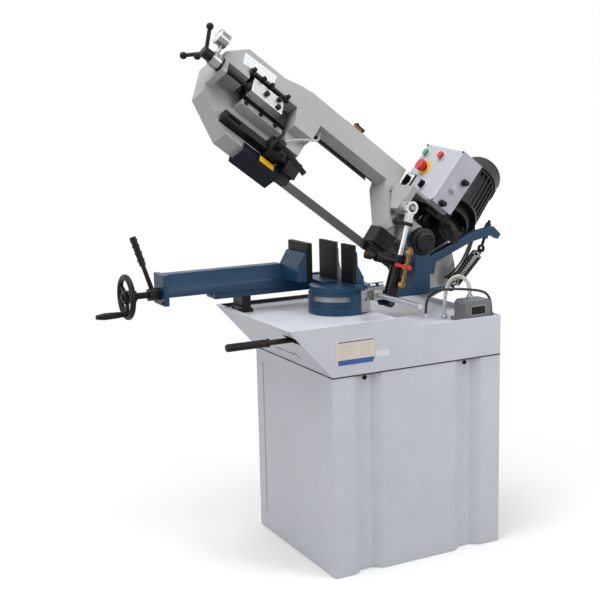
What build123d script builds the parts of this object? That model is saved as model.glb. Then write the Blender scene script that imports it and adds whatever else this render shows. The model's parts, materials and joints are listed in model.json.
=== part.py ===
"""Metal cutting band saw on a sheet steel stand: a leaning cast bow that tips down on to a mitre vise."""
import math
import os

from build123d import *

# Stand and chip tray
CABINET_WIDTH = 521.0
CABINET_DEPTH = 602.0
CABINET_HEIGHT = 620.0
SHEET = 3.0
RIB_DEPTH = 22.0
RIB_MOUTH = 97.0
RIB_FLOOR = 38.0
RIB_CENTRES = (-180.0, 180.0)
FLANGE_WIDTH = 45.0
ANCHOR_BORE = 12.0
ANCHOR_INSET = 26.0
PANEL_WIDTH = 430.0
PANEL_HEIGHT = 520.0
PANEL_LAP = 12.0
PANEL_CENTRE_Z = 315.0
TRAY_OVERHANG = 1.5
TRAY_WIDTH = CABINET_WIDTH + 2 * TRAY_OVERHANG
TRAY_FRONT_Y = -440.0
TRAY_FRONT_RIM_Z = 774.0
TRAY_FLOOR_Z = 760.0
TRAY_STEP_Y = -40.0
TRAY_STEP_RUN = 44.0
TRAY_REAR_RIM_Z = 744.0
TRAY_REAR_FLOOR_Z = 730.0
TRAY_LIP = 15.0
FOLD_STRETCH = 1.3
PUMP_X = (180.0, 254.0)
PUMP_Y = (168.0, 292.0)
PUMP_HOOD_Y = (176.0, 274.0)
PUMP_EDGE = 8.0
PUMP_FLANGE = 10.0
PUMP_HEIGHT = 66.0
PUMP_STUB = 10.0
PUMP_FRONT_BEVEL = (10.0, 10.0)
PUMP_REAR_BEVEL = (8.0, 12.0)
STUB_WALL = 2.0
STUB_SEAT = 6.0
GLAND_WALL = 3.0
TANK_X = (-150.0, 228.0)
TANK_Y = (20.0, 290.0)
TANK_TOP_Z = 250.0
TANK_WALL = 5.0

# Mitre base, vise table and jaws
MITRE_Y = -130.0
PEDESTAL_RADIUS = 96.0
PEDESTAL_TOP_Z = 798.0
GROOVE_Z = (786.0, 789.0)
GROOVE_DEPTH = 2.0
POST_RADIUS = 40.0
RING_TOP_Z = 826.0
TABLE_TOP_Z = 846.0
TABLE_RADIUS = 92.0
WORK_Z = 856.0
JAW_TOP_Z = 976.0
JAW_FACE_Y = -128.0
JAW_PLATE = 12.0
JAW_BLOCK = 30.0
JAW_GAP = 27.0
LEFT_JAW_WIDTH = 116.5
RIGHT_JAW_WIDTH = 74.5
JAW_INSET = 4.0
RELIEF_RUN = 40.0
GUSSET_HEEL = 18.0
GUSSET_NECK = (8.0, 58.0)
GUSSET_TOP = (6.0, 22.0)
VISE_X = -175.0
BED_WIDTH = 72.0
BED_BOTTOM_Z = 812.0
BED_FRONT_Y = -492.0
BED_REAR_Y = -85.0
BED_SLOT = 34.0
BED_END_WALL = 14.0
BED_NUT = 40.0
BRIDGE_RIGHT_X = -20.0
PAD_FRONT_Y = -178.0
BED_SLOT_FLOOR_Z = 824.0
JAW_OPENING = 72.0
MOVING_PLATE = 17.0
MOVING_JAW_WIDTH = 134.0
MOVING_JAW_RIGHT_X = -40.0
MOVING_BLOCK = 34.0
MOVING_PLATE_LIFT = 2.0
JAW_HEAD_DROP = 30.0
JAW_HEAD_LEDGE = 8.0
SLIDE_WIDTH = 88.0
SLIDE_SKIRT_Z = 834.0
SLIDE_EAVE_Z = 862.0
SLIDE_RIDGE_Z = 903.0
SLIDE_RIDGE_WIDTH = 40.0
SLIDE_ROOF = (4.0, 12.0)
SLIDE_SHOE = 120.0
SLIDE_FRONT_Y = -645.0
END_PLATE = 16.0
END_PLATE_BOTTOM_Z = 808.0
SCREW_Z = 842.0
SCREW_RADIUS = 10.0
SCREW_TIP_Y = -345.0
SCREW_PROUD = 16.0
COLLAR_LENGTH = 12.0
COLLAR_WALL = 8.0
HANDWHEEL_Y = -766.0
HANDWHEEL_RADIUS = 70.0
HANDWHEEL_RIM = 9.0
HANDWHEEL_HUB = (12.0, -30.0)
HANDWHEEL_WINDOW = (35.5, 13.0)
HANDWHEEL_WINDOWS = 3
CRANK_RADIUS = 52.0
CRANK_LENGTH = 86.0
CRANK_GRIP_RADIUS = 11.0
CRANK_BOSS_RADIUS = 8.0
CRANK_SPINDLE_RADIUS = 5.0
CLAMP_BARREL_RADIUS = 19.0
CLAMP_BARREL_LENGTH = 36.0
CLAMP_LEVER_LENGTH = 186.0
CLAMP_LEVER_FORWARD = 14.0
CLAMP_LEVER_LEFT = 13.0
CLAMP_STEM_RADIUS = 7.0
CLAMP_GRIP_RADIUS = 10.0
CLAMP_GRIP_SHARE = 0.5
CLAMP_RINGS = (0.6, 0.72, 0.84, 0.94)
CLAMP_RING = (12.0, 5.0)
SUPPORT_Y = -385.0
SUPPORT_WIDTH = 72.0
SUPPORT_DEPTH = 30.0
SUPPORT_FLARE = 8.0
STOP_ROD_Y = -108.0
STOP_ROD_Z = 838.0
STOP_ROD_RADIUS = 8.0
STOP_ROD_START_X = 40.0
STOP_ROD_END_X = 430.0
STOP_LUG_X = (60.0, 92.0)
STOP_LUG_HALF = 16.0
STOP_X = 190.0
STOP_BLOCK = (14.0, 15.0)
STOP_PLATE = 6.0
STOP_PLATE_REACH = 45.0
STOP_PLATE_Z = (-52.0, 12.0)
STOP_PLATE_HOLE = (-30.0, -14.0, 4.0)
STOP_KNOB = (26.0, 5.0)
STOP_BAR = (30.0, 24.0, 7.0)
LOCK_X = 213.0
LOCK_PIVOT_Y = -290.0
LOCK_Z = 738.0
LOCK_BAR_RADIUS = 8.0
LOCK_GRIP_START_Y = -480.0
LOCK_GRIP_END_Y = -612.0
LOCK_SWING = 12.0
LOCK_STUD = 6.0
LOCK_STUD_DROP = 14.0
LOCK_EYE = (16.0, 10.0)
LOCK_GRIP_RADIUS = 14.0
LOCK_SLOT_SHORT = 40.0
LOCK_ROOM = 3.0

# Bow: swing, lean and blade
BOW_LIFT = 36.8
BOW_LEAN = 40.0
PIVOT_Y = 132.0
PIVOT_Z = 968.0
PIVOT_RISE = 104.0
WHEEL_DIAMETER = 320.0
WHEEL_WIDTH = 28.0
IDLER_U = 657.0
DRIVE_U = -100.0
BLADE_WIDTH = 27.0
BLADE_THICKNESS = 0.9
BLADE_GAP = 0.3
TWIST_FRONT_U = 520.0
TWIST_REAR_U = 66.0
FLAT_FRONT_U = 602.0
FLAT_REAR_U = -50.0
PAN_RADIUS = 176.0
REAR_PAN_RADIUS = 172.0
PAN_FAR_Z = -28.0
PAN_NEAR_Z = 25.0
PAN_PLATE = 8.0
PAN_WALL = 6.0
COVER_SHEET = 2.0
ARM_NEAR_Z = 100.0
ARM_FAR_Z = 60.0
ARM_TOP_Y = -336.0
ARM_LOW_Y = -218.0
ARM_SKIN = 11.0
ARM_REAR_U = 62.0
LEG_FRONT_U = 152.0
LEG_REAR_U = 50.0
LEG_FACE_REAR_U = 101.0
LEG_LOW_Y = -36.0
ARM_FRONT_U = 500.0
ARM_HOLLOW_U = 440.0
LEG_TOE = (26.0, 30.0)
LEG_TOE_END = 44.0
LEG_POCKET_DEPTH = 24.0
LEG_POCKET_Y = (34.0, 40.0)
LEG_POCKET_FRONT = (20.0, 34.0)
LEG_POCKET_REAR = 9.0
LEG_FOOT_TOP_Y = -300.0
LEG_FOOT_LAP = 10.0
BOX_FRONT_U = 836.0
BOX_NOSE = (22.0, 3.0)
BOX_CROWN_Y = -298.0
BAY_U = (545.0, 735.0)
RAIL_WIDTH = 20.0
RAIL_RISE = 22.0
BOSS_RADIUS = 36.0
BOSS_LEFT_X = -38.0
BOSS_RIGHT_X = 35.5
PIVOT_SHAFT_RADIUS = 15.0
PIVOT_WASHER = (24.0, 4.0)
PIVOT_NUT = (20.0, 12.0)
BLADE_WAY = 15.0
BLADE_WAY_OVER = 10.0
FRONT_WAY_U = (470.0, 600.0)
REAR_WAY_U = (-60.0, 20.0)
REAR_WAY_OVER_U = (-60.0, 70.0)
SHAFT_ROOM_RADIUS = 32.0
CHANNEL_U = (134.0, 444.0)
CHANNEL_FAR_Z = -20.0
CHANNEL_FOLD = 22.0
WHEEL_RIM = 16.0
WHEEL_HUB_RADIUS = 34.0
WHEEL_WEB_HALF = 5.0
WHEEL_HOLES = 5
WHEEL_HOLE_RADIUS = 26.0
WHEEL_HOLE_SHARE = 0.56
IDLER_SHAFT_RADIUS = 15.0
IDLER_COLLAR_RADIUS = 20.0
DRIVE_SHAFT_RADIUS = 14.0
DRIVE_SHAFT_PROUD = 40.0
TWIST_STEPS = 4

# Column, damper and counter spring
COLUMN_LEFT_X = 36.0
COLUMN_RIGHT_X = 80.0
COLUMN_FRONT_Y = 106.0
COLUMN_REAR_Y = 160.0
COLUMN_BOSS_RADIUS = 31.0
DAMPER_X = 104.0
DAMPER_FOOT = (-12.0, 792.0)
DAMPER_HEAD = (74.0, 1080.0)
DAMPER_RADIUS = 21.0
DAMPER_BODY = 150.0
DAMPER_ROD_RADIUS = 8.0
VALVE_X = 36.0
VALVE_Y = 9.0
VALVE_ENDS = (62.0, 180.0)
VALVE_PORTS = (76.0, 128.0)
VALVE_TAP = 118.0
FEED_VALVE = 128.0
FEED_VALVE_REACH = 62.0
FEED_KNOB = 24.0
DAMPER_PIN_RADIUS = 7.0
DAMPER_SLOT_RADIUS = 13.0
DAMPER_HEAD_WALL = 8.0
DAMPER_HEAD_THICK = 14.0
DAMPER_EYE = (15.0, 30.0)
DAMPER_BARREL_START = 12.0
DAMPER_COLLAR = (3.0, 14.0)
DAMPER_BORE_START = 40.0
DAMPER_ROD_START = 122.0
FEED_VALVE_RADIUS = 13.0
FEED_KNOB_RADIUS = 15.0
FEED_KNOB_FLUTES = 6
FEED_KNOB_FLUTE = (16.0, 4.0)
VALVE_PIPE_RADIUS = 6.0
VALVE_UNION_RADIUS = 9.0
VALVE_BODY_RADIUS = 11.0
VALVE_UNION_HALF = 9.0
VALVE_STEM = (15.0, 5.0)
VALVE_PORT_RADIUS = 4.5
VALVE_HANDLE = (52.0, 5.0)
VALVE_HUB = (6.0, 8.0)
SPRING_TOP = (21.0, 402.0, 918.0)
SPRING_FOOT = (48.0, 262.0, 804.0)
SPRING_COIL_RADIUS = 17.0
SPRING_WIRE_RADIUS = 2.3
SPRING_TURNS = 18
SPRING_COIL_LENGTH = 132.0
SPRING_SIDES = 6
HOOK_RISE = 10.0
HOOK_BEND = 4.5
SPRING_ARM_LEFT_X = 8.0
SPRING_ARM_THICK = 26.0
EYE_RADIUS = 13.0
EYE_HOLE = 7.0
EYE_THICK = 8.0
EYEBOLT_RADIUS = 5.0
EYEBOLT_TIP = (436.0, 1009.0)
EYEBOLT_BOSS = (36.0, 80.0, 11.0)
EYEBOLT_NUT = 8.0
SPRING_ARM_OUTLINE = ((178, 856), (206, 850), (216, 890), (352, 944), (436, 962), (462, 946), (474, 962),
                      (444, 990), (350, 974), (205, 916), (186, 906))
ANCHOR_ROD_RADIUS = 6.0

# Tension slide and its handle
SLIDE_U = (560.0, 720.0)
SLIDE_Y = (-195.0, -125.0)
SLIDE_Z = (40.0, 75.0)
TENSION_BLOCK_U = 600.0
TENSION_BLOCK_INSET = (6.0, 2.0)
TENSION_BLOCK_TOP_Z = 104.0
TENSION_SCREWS = ((620.0, -176.0), (620.0, -140.0), (668.0, -158.0))
TENSION_SCREW = (7.0, 8.0)
SPINDLE_Y = -150.0
SPINDLE_Z = 89.0
SPINDLE_RADIUS = 8.0
SPINDLE_TIP_U = 660.0
SPINDLE_SOCKET_U = 640.0
SPINDLE_BORE_U = 700.0
HANDLE_U = 896.0
HANDLE_REACH = 74.0
HANDLE_CONE = 22.0
HANDLE_TURNS = (-46.0, 74.0, 194.0)
HANDLE_HUB = (-22.0, 6.0)
HANDLE_HUB_RADIUS = 17.0
HANDLE_ARM_RADIUS = 6.0
HANDLE_BALL_RADIUS = 11.0
GAUGE_RADIUS = 21.0
GAUGE_SEAT = 3.0
GAUGE_END = 24.0
DIAL_U = (846.0, 878.0)
DIAL_PLACE = (-70.0, 26.0)
DIAL_RADIUS = 23.0
DIAL_STEM_U = 858.0
DIAL_STEM_ENDS = ((-16.0, 6.0), (-60.0, 22.0))
DIAL_STEM_RADIUS = 6.0

# Front guide, its clamp and the blade guard
GUIDE_BAR_U = (520.0, 762.0)
GUIDE_BAR_Y = (-46.0, -14.0)
GUIDE_BAR_TOP_Z = 52.0
GUIDE_BLOCK_U = 470.0
CLAMP_BLOCK_U = (546.0, 596.0)
CLAMP_ROOF = 18.0
CLAMP_CHEEKS = (16.0, 12.0)
CLAMP_HUB = (13.0, 24.0)
CLAMP_STEM_Z = 16.0
CLAMP_TIP = (-92.0, 62.0, 26.0)
CLAMP_GRIP = (-30.0, 20.0, 19.0)
GUIDE_BAR_POCKET = (60.0, 12.0)
GUIDE_BAR_POCKET_WALL = 9.0
GUIDE_BAR_POCKET_DEPTH = 8.0
GUIDE_SLIT = 1.6
GUIDE_CHEEK_Z = (-9.0, 17.0)
GUIDE_HEAD_OUTLINE = ((-32, 17), (36, 17), (36, 70), (4, 70), (-32, 28))
FRONT_CHEEK = 24.0
CHEEK_INSET = 6.0
GUARD_U = (520.0, 664.0)
GUARD_LOW_Y = 33.0
GUARD_FAR_Z = -35.0
GUARD_NEAR_Z = 31.0
GUARD_SHEET = 2.0
GUARD_FAR_SIDE = 50.0
GUARD_NEAR_SIDE = 34.0
GUARD_SLIT = 16.0
REAR_GUIDE_U = (62.0, 130.0)
REAR_GUIDE_Y = (-30.0, 34.0)
REAR_GUIDE_TOP_Z = 72.0
REAR_CHEEK = 26.0
REAR_CHEEK_INSET = (6.0, 4.0)

# Drive unit and control box
GEARBOX_U = (-172.0, -52.0)
GEARBOX_Y = (-238.0, -90.0)
GEARBOX_TOP_Z = 150.0
GEAR_COVER_Y = -138.0
GEAR_COVER_STEPS = ((36.0, 6.0), (29.0, 11.0), (20.0, 15.0), (11.0, 18.0))
GEARBOX_CORNER = 18.0
GEARBOX_HEEL = (79.0, 93.0)
MOTOR_Z = 122.0
MOTOR_TURN = 22.6
MOTOR_OFFSET_U = 12.0
MOTOR_START = 106.0
MOTOR_FLANGE = (58.0, 50.0)
MOTOR_SHIELD = 16.0
MOTOR_LENGTH = 264.0
MOTOR_RADIUS = 66.0
FIN_HEIGHT = 9.0
FIN_COUNT = 28
FIN_HALF = 1.6
FIN_ROOT = 2.0
FAN_COVER_RADIUS = 79.0
FAN_COVER_LENGTH = 88.0
FAN_COVER_ROUND = 12.0
FAN_RINGS = 4
FAN_RING_PITCH = 13.0
FAN_RING = (13.0, 20.0)
FAN_SPOKE_HALF = 6.0
FAN_SLOT_HALF = 4.0
FAN_WEB_BORE = 16.0
BOX_FRONT = 42.0
BOX_CENTRE_X = -33.0
BOX_CENTRE_H = 335.0
BOX_ROLL = 5.3
BOX_WIDTH = 226.0
BOX_TALL = 187.0
BOX_DEPTH = 88.0
BOX_WALL = 3.0
BOX_GLAND = (70.0, 16.0, 11.0)
LID = 4.0
SHELF = 9.0
SHELF_X = (-84.0, 92.0)
SHELF_FRONT = 60.0
SHELF_BACK = 8.0
SHELF_RIB = (10.0, 46.0, -20.0)
BUTTON_COLUMNS = (-86.0, 10.0)
BUTTON_ROWS = (61.0, -52.0)
ESTOP_PLACE = (-41.0, 7.0)
STEM_RADIUS = 9.0
ESTOP_STEM_RADIUS = 10.0
STEM_BEHIND = 8.0
# Heads: gap in front of the lid, radius, height; bars: length, width, height
START_HEAD = (5.0, 11.5, 6.0)
STOP_HEAD = (5.0, 11.5, 8.0)
ESTOP_HEAD = (12.0, 19.0, 16.0)
SWITCH_HEAD = (1.0, 17.0, 8.0)
SWITCH_BAR = (32.0, 10.0, 10.0)
SELECTOR_HEAD = (1.0, 13.0, 7.0)
SELECTOR_BAR = (24.0, 8.0, 9.0)

# Hoses and cables
HOSE_RADIUS = 6.0
CABLE_RADIUS = 4.0
THIN_HOSE_RADIUS = 3.5
TUBE_SIDES = 8
UNION_HEIGHT = 14.0
PUMP_OUTLET = (202.0, 226.0)
PUMP_GLAND = (236.0, 283.0)
HOSE_UNION = (162.0, 158.0)
CABLE_UNION = (118.0, 118.0)
MOTOR_GLANDS = (340.0, 318.0)
GLAND_WAY = (-0.547, 0.837)
GLAND_REACH = 84.0
GLAND_RADIUS = 8.0
GLAND_RUN = 28.0
GLAND_ROOT = 6.0
TAP_U = (252.0, 334.0)
TAP_Z = 84.0
TAP_RISE = 14.0
TAP_PIPE_RADIUS = 7.0
TAP_BODY_U = (270.0, 300.0)
TAP_BODY_Z = (74.0, 96.0)
TAP_BODY_RISE = 24.0
TAP_STEM_U = 285.0
TAP_STEM = (20.0, 34.0, 5.0)
TAP_ELBOW_U = 326.0
TAP_ELBOW_RADIUS = 8.0
TAP_HUB = (9.0, 10.0)
TAP_WING = (2.0, 8.0)
TAP_WING_Z = (78.0, 90.0)
# Corners of the hoses' and cables' routes between their unions
PUMP_HOSE_ENDS = (838.0, 793.0)
PUMP_HOSE_ROUTE = ((194, 206, 864), (180, 184, 866), (167, 167, 842))
PUMP_CABLE_ENDS = (780.0, 782.0)
PUMP_CABLE_ROUTE = ((134, 126, 808), (166, 140, 824), (200, 166, 830), (226, 204, 828), (238, 242, 822),
                    (238, 267, 810))
MOTOR_CABLE_ROUTES = (
    ((-338, -392, 56), (-332, -338, 54), (-318, -284, 54), (-300, -232, 55), (-280, -184, 56),
     (-262, -146, 56), (-246, -114, 54), (-238, -100, 42), (-238, -100, PAN_NEAR_Z)),
    ((-325, -374, 57), (-319, -326, 55), (-305, -274, 54), (-287, -224, 55), (-266, -176, 57),
     (-247, -138, 57), (-230, -106, 54), (-222, -92, 42), (-222, -92, PAN_NEAR_Z)))
GUIDE_HOSE_START = (430, ARM_LOW_Y, 80)
GUIDE_HOSE_ROUTE = ((430, -192, 80), (440, -160, 92), (466, -124, 104), (502, -92, 110), (536, -66, 104),
                    (556, -56, 86))
ARC_SHARE = 0.45

# Clearances
RUNNING_FIT = 0.05
SLIDING_FIT = 0.3
OVERCUT = 1.0

LOW = (Align.CENTER, Align.CENTER, Align.MIN)


def unit(angle):
    """Direction of the bow's length at a lift angle, and the direction square to it that points up."""
    turn = math.radians(angle)
    return (0, -math.cos(turn), math.sin(turn)), (0, math.sin(turn), math.cos(turn))


ALONG, OVER = unit(BOW_LIFT)
LEAN = math.radians(BOW_LEAN)
BOW_ORIGIN = (0, PIVOT_Y - PIVOT_RISE * OVER[1], PIVOT_Z - PIVOT_RISE * OVER[2])
FACE_NORMAL = tuple(math.cos(LEAN) * x + math.sin(LEAN) * h for x, h in zip((1, 0, 0), OVER))
# Leaning frame: x along the bow, y across it towards the blade, z out of its near face
BOW = Plane(origin=BOW_ORIGIN, x_dir=ALONG, z_dir=FACE_NORMAL)
# Upright frame of the bow: x along it, y across the machine, z up from the blade
LIFT = Plane(origin=BOW_ORIGIN, x_dir=ALONG, z_dir=OVER)
WHEEL_Y = -WHEEL_DIAMETER / 2


def span(xs, ys, zs):
    """Block between pairs of limits."""
    size = [max(v) - min(v) for v in (xs, ys, zs)]
    return Pos(min(xs), min(ys), min(zs)) * Box(*size, align=(Align.MIN, Align.MIN, Align.MIN))


def slab(points, low, high):
    """Outline in x and y, raised from one level to another."""
    face = make_face(Polyline(*points, close=True))
    return Pos(0, 0, low) * extrude(face, amount=high - low, dir=(0, 0, 1))


def profile_x(points, left, right):
    """Outline in y and z, drawn out along x."""
    face = make_face(Polyline(*[(0, y, z) for y, z in points], close=True))
    return Pos(left, 0, 0) * extrude(face, amount=right - left, dir=(1, 0, 0))


def profile_y(points, front, rear):
    """Outline in x and z, drawn out along y."""
    face = make_face(Polyline(*[(x, 0, z) for x, z in points], close=True))
    return Pos(0, front, 0) * extrude(face, amount=rear - front, dir=(0, 1, 0))


def rod(start, end, radius):
    """Round bar between two points."""
    line = Vector(*end) - Vector(*start)
    return Plane(origin=start, z_dir=line) * Cylinder(radius, line.length, align=LOW)


def rod_x(left, right, y, z, radius):
    return rod((left, y, z), (right, y, z), radius)


def rod_y(front, rear, x, z, radius):
    return rod((x, front, z), (x, rear, z), radius)


def octagon(centre_u, inradius, low, high):
    """Eight sided disc about a wheel's centre."""
    outline = RegularPolygon(inradius, 8, major_radius=False, rotation=22.5)
    return Pos(centre_u, WHEEL_Y, low) * extrude(outline, amount=high - low, dir=(0, 0, 1))


def disc(u, y, radius, low, high):
    return Pos(u, y, low) * Cylinder(radius, high - low, align=LOW)


def tangent_radii(points):
    """Largest arc that each corner of a route has room for."""
    places = [Vector(*p) for p in points]
    radii = []
    for before, corner, after in zip(places, places[1:], places[2:]):
        inward, outward = corner - before, after - corner
        turn = math.radians(inward.get_angle(outward))
        radii.append(ARC_SHARE * min(inward.length, outward.length) / math.tan(turn / 2))
    return radii


def hose(points, radius, name):
    """Tube along straight runs with large tangent arcs."""
    radii = tangent_radii(points)
    path = FilletPolyline(*points, radius=radii)
    print(name, "radii", [round(r) for r in radii], "length", round(path.length))
    section = Plane(origin=path @ 0, z_dir=path % 0) * RegularPolygon(radius, TUBE_SIDES)
    return sweep(section, path=path)


# Stand


def cabinet_outline(inset):
    """Plan of the stand's walls, with a channel pressed into each flank at every rib."""
    half_x, half_y = CABINET_WIDTH / 2 - inset, CABINET_DEPTH / 2 - inset
    mouth, floor = RIB_MOUTH / 2 + inset / 2, RIB_FLOOR / 2 + inset / 2
    right = []
    for centre in RIB_CENTRES:
        right += [(half_x, centre - mouth), (half_x - RIB_DEPTH, centre - floor)]
        right += [(half_x - RIB_DEPTH, centre + floor), (half_x, centre + mouth)]
    left = [(-x, y) for x, y in reversed(right)]
    rear = [(half_x, half_y), (-half_x, half_y)]
    return [(half_x, -half_y)] + right + rear + left + [(-half_x, -half_y)]


def anchor_places():
    x = CABINET_WIDTH / 2 - ANCHOR_INSET
    y = CABINET_DEPTH / 2 - ANCHOR_INSET
    return [(sx * x, sy * y) for sx in (-1, 1) for sy in (-1, 1)]


def stand_cabinet():
    """Welded sheet walls with a folded floor flange, and the door opening in front."""
    body = slab(cabinet_outline(0), 0, CABINET_HEIGHT)
    body -= slab(cabinet_outline(SHEET), SHEET, CABINET_HEIGHT)
    half_x, half_y = CABINET_WIDTH / 2 - FLANGE_WIDTH, CABINET_DEPTH / 2 - FLANGE_WIDTH
    body -= span((-half_x, half_x), (-half_y, half_y), (0, SHEET))
    for x, y in anchor_places():
        body -= Pos(x, y, 0) * Cylinder(ANCHOR_BORE / 2, SHEET, align=LOW)
    door_z = (PANEL_CENTRE_Z - PANEL_HEIGHT / 2, PANEL_CENTRE_Z + PANEL_HEIGHT / 2)
    front = -CABINET_DEPTH / 2
    body -= span((-PANEL_WIDTH / 2, PANEL_WIDTH / 2), (front, front + SHEET), door_z)
    return body


def front_panel():
    """Door sheet that laps behind the opening."""
    width, height = PANEL_WIDTH + 2 * PANEL_LAP, PANEL_HEIGHT + 2 * PANEL_LAP
    back = -CABINET_DEPTH / 2 + SHEET
    half = (PANEL_CENTRE_Z - height / 2, PANEL_CENTRE_Z + height / 2)
    return span((-width / 2, width / 2), (back, back + SHEET), half)


def chip_tray():
    """Folded tray: sloped front, low rear floor, pump well, hose unions and slot for the lock lever."""
    half = TRAY_WIDTH / 2
    rear = CABINET_DEPTH / 2
    step_end = TRAY_STEP_Y + TRAY_STEP_RUN
    outside = [(-rear, CABINET_HEIGHT), (TRAY_FRONT_Y, TRAY_FRONT_RIM_Z), (TRAY_STEP_Y, TRAY_FRONT_RIM_Z),
               (step_end, TRAY_REAR_RIM_Z), (rear, TRAY_REAR_RIM_Z), (rear, CABINET_HEIGHT)]
    tray = profile_x(outside, -half, half)
    inner = half - SHEET
    top = TRAY_FRONT_RIM_Z + OVERCUT
    lip = TRAY_FRONT_Y + TRAY_LIP
    hollow = [(lip, top), (lip, TRAY_FLOOR_Z), (TRAY_STEP_Y, TRAY_FLOOR_Z), (step_end, TRAY_REAR_FLOOR_Z),
              (rear - SHEET, TRAY_REAR_FLOOR_Z), (rear - SHEET, top)]
    tray -= profile_x(hollow, -inner, inner)
    fold = TRAY_FLOOR_Z - SHEET
    skin = SHEET * FOLD_STRETCH
    under = [(-rear + skin, CABINET_HEIGHT), (TRAY_FRONT_Y + skin + (TRAY_FRONT_RIM_Z - fold), fold),
             (TRAY_STEP_Y - SHEET, fold), (step_end - SHEET, TRAY_REAR_FLOOR_Z - SHEET),
             (rear - SHEET, TRAY_REAR_FLOOR_Z - SHEET), (rear - SHEET, CABINET_HEIGHT)]
    tray -= profile_x(under, -inner, inner)
    well_x = (PUMP_X[0] + PUMP_EDGE, PUMP_X[1] - PUMP_EDGE)
    well_y = (PUMP_Y[0] + PUMP_EDGE, PUMP_Y[1] - PUMP_EDGE)
    tray -= span(well_x, well_y, (TRAY_REAR_FLOOR_Z - SHEET, TRAY_REAR_FLOOR_Z))
    for (x, y), radius in ((HOSE_UNION, HOSE_RADIUS), (CABLE_UNION, CABLE_RADIUS)):
        tray += disc(x, y, radius + SHEET, TRAY_REAR_FLOOR_Z, TRAY_REAR_FLOOR_Z + UNION_HEIGHT)
    stud = rod((LOCK_X, LOCK_PIVOT_Y, LOCK_Z - LOCK_STUD_DROP), (LOCK_X, LOCK_PIVOT_Y, fold), LOCK_STUD)
    return tray - lock_slot() + stud


def lock_slot():
    """Slot in the tray's sloped front that the lock lever swings in."""
    reach = LOCK_PIVOT_Y - TRAY_FRONT_Y
    room = LOCK_BAR_RADIUS + LOCK_ROOM
    swing = math.tan(math.radians(LOCK_SWING)) * reach + room
    sides = (LOCK_X - swing, LOCK_X + swing)
    depth = (TRAY_FRONT_Y, LOCK_PIVOT_Y - LOCK_SLOT_SHORT)
    return span(sides, depth, (LOCK_Z - room, LOCK_Z + room))


# Mitre base and vise


def base_pedestal():
    """Round foot on the tray with the post that the swivel ring turns on."""
    foot = disc(0, MITRE_Y, PEDESTAL_RADIUS, TRAY_FLOOR_Z, PEDESTAL_TOP_Z)
    groove = disc(0, MITRE_Y, PEDESTAL_RADIUS, *GROOVE_Z)
    groove -= disc(0, MITRE_Y, PEDESTAL_RADIUS - GROOVE_DEPTH, *GROOVE_Z)
    post = disc(0, MITRE_Y, POST_RADIUS, PEDESTAL_TOP_Z, RING_TOP_Z + SLIDING_FIT)
    return foot - groove + post


def mitre_relief(low, high, y_rear, side):
    """Wedge that the blade sweeps behind the fixed jaw at full mitre."""
    start = JAW_FACE_Y
    inner = side * JAW_GAP / 2
    outer = inner - side * RELIEF_RUN
    front = start - OVERCUT
    points = [(outer, front), (inner, front), (inner, start), (inner + side * (y_rear - start), y_rear)]
    return slab(points + [(outer, y_rear)], low, high)


def vise_bed():
    """Table over the swivel ring, joined to the long slotted bed on the left."""
    low = RING_TOP_Z + SLIDING_FIT
    table = disc(0, MITRE_Y, TABLE_RADIUS, low, TABLE_TOP_Z)
    bed_x = (VISE_X - BED_WIDTH / 2, VISE_X + BED_WIDTH / 2)
    bed = span(bed_x, (BED_FRONT_Y, BED_REAR_Y), (BED_BOTTOM_Z, WORK_Z))
    bridge = span((bed_x[1], BRIDGE_RIGHT_X), (PAD_FRONT_Y, BED_REAR_Y), (low, TABLE_TOP_Z))
    inner = -JAW_GAP / 2
    pad = [(bed_x[1], PAD_FRONT_Y), (inner, PAD_FRONT_Y), (inner, JAW_FACE_Y),
           (inner - (BED_REAR_Y - JAW_FACE_Y), BED_REAR_Y), (bed_x[1], BED_REAR_Y)]
    left_pad = slab(pad, TABLE_TOP_Z, WORK_Z)
    right_pad = span((JAW_GAP / 2, JAW_GAP / 2 + RIGHT_JAW_WIDTH), (JAW_FACE_Y, BED_REAR_Y), (low, WORK_Z))
    lug = span(STOP_LUG_X, (STOP_ROD_Y - STOP_LUG_HALF, STOP_ROD_Y + STOP_LUG_HALF), (low, WORK_Z))
    body = table + bed + bridge + left_pad + right_pad + lug
    slot = (VISE_X - BED_SLOT / 2, VISE_X + BED_SLOT / 2)
    body -= span(slot, (BED_FRONT_Y, BED_REAR_Y - BED_END_WALL), (BED_SLOT_FLOOR_Z, WORK_Z))
    nut_y = BED_FRONT_Y + BED_END_WALL
    nut = span(slot, (nut_y, nut_y + BED_NUT), (BED_SLOT_FLOOR_Z, WORK_Z))
    nut -= rod_y(BED_FRONT_Y, BED_REAR_Y, VISE_X, SCREW_Z, SCREW_RADIUS + SLIDING_FIT)
    body += nut
    body -= rod_x(STOP_ROD_START_X, STOP_ROD_END_X, STOP_ROD_Y, STOP_ROD_Z, STOP_ROD_RADIUS + RUNNING_FIT)
    return body


def vise_support():
    """Leg block between the tray and the bed."""
    half, floor, flare = SUPPORT_DEPTH / 2, TRAY_FLOOR_Z, SUPPORT_FLARE
    front, rear = SUPPORT_Y - half, SUPPORT_Y + half
    outline = [(front - flare, floor), (rear + flare, floor), (rear + flare, floor + flare),
               (rear, floor + 2 * flare), (rear, BED_BOTTOM_Z), (front, BED_BOTTOM_Z),
               (front, floor + 2 * flare), (front - flare, floor + flare)]
    return profile_x(outline, VISE_X - SUPPORT_WIDTH / 2, VISE_X + SUPPORT_WIDTH / 2)


def fixed_jaw_sides():
    """Left and right limits of the two fixed jaws, with the side that faces the blade."""
    half = JAW_GAP / 2
    return (((-half - LEFT_JAW_WIDTH, -half), -1), ((half, half + RIGHT_JAW_WIDTH), 1))


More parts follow.
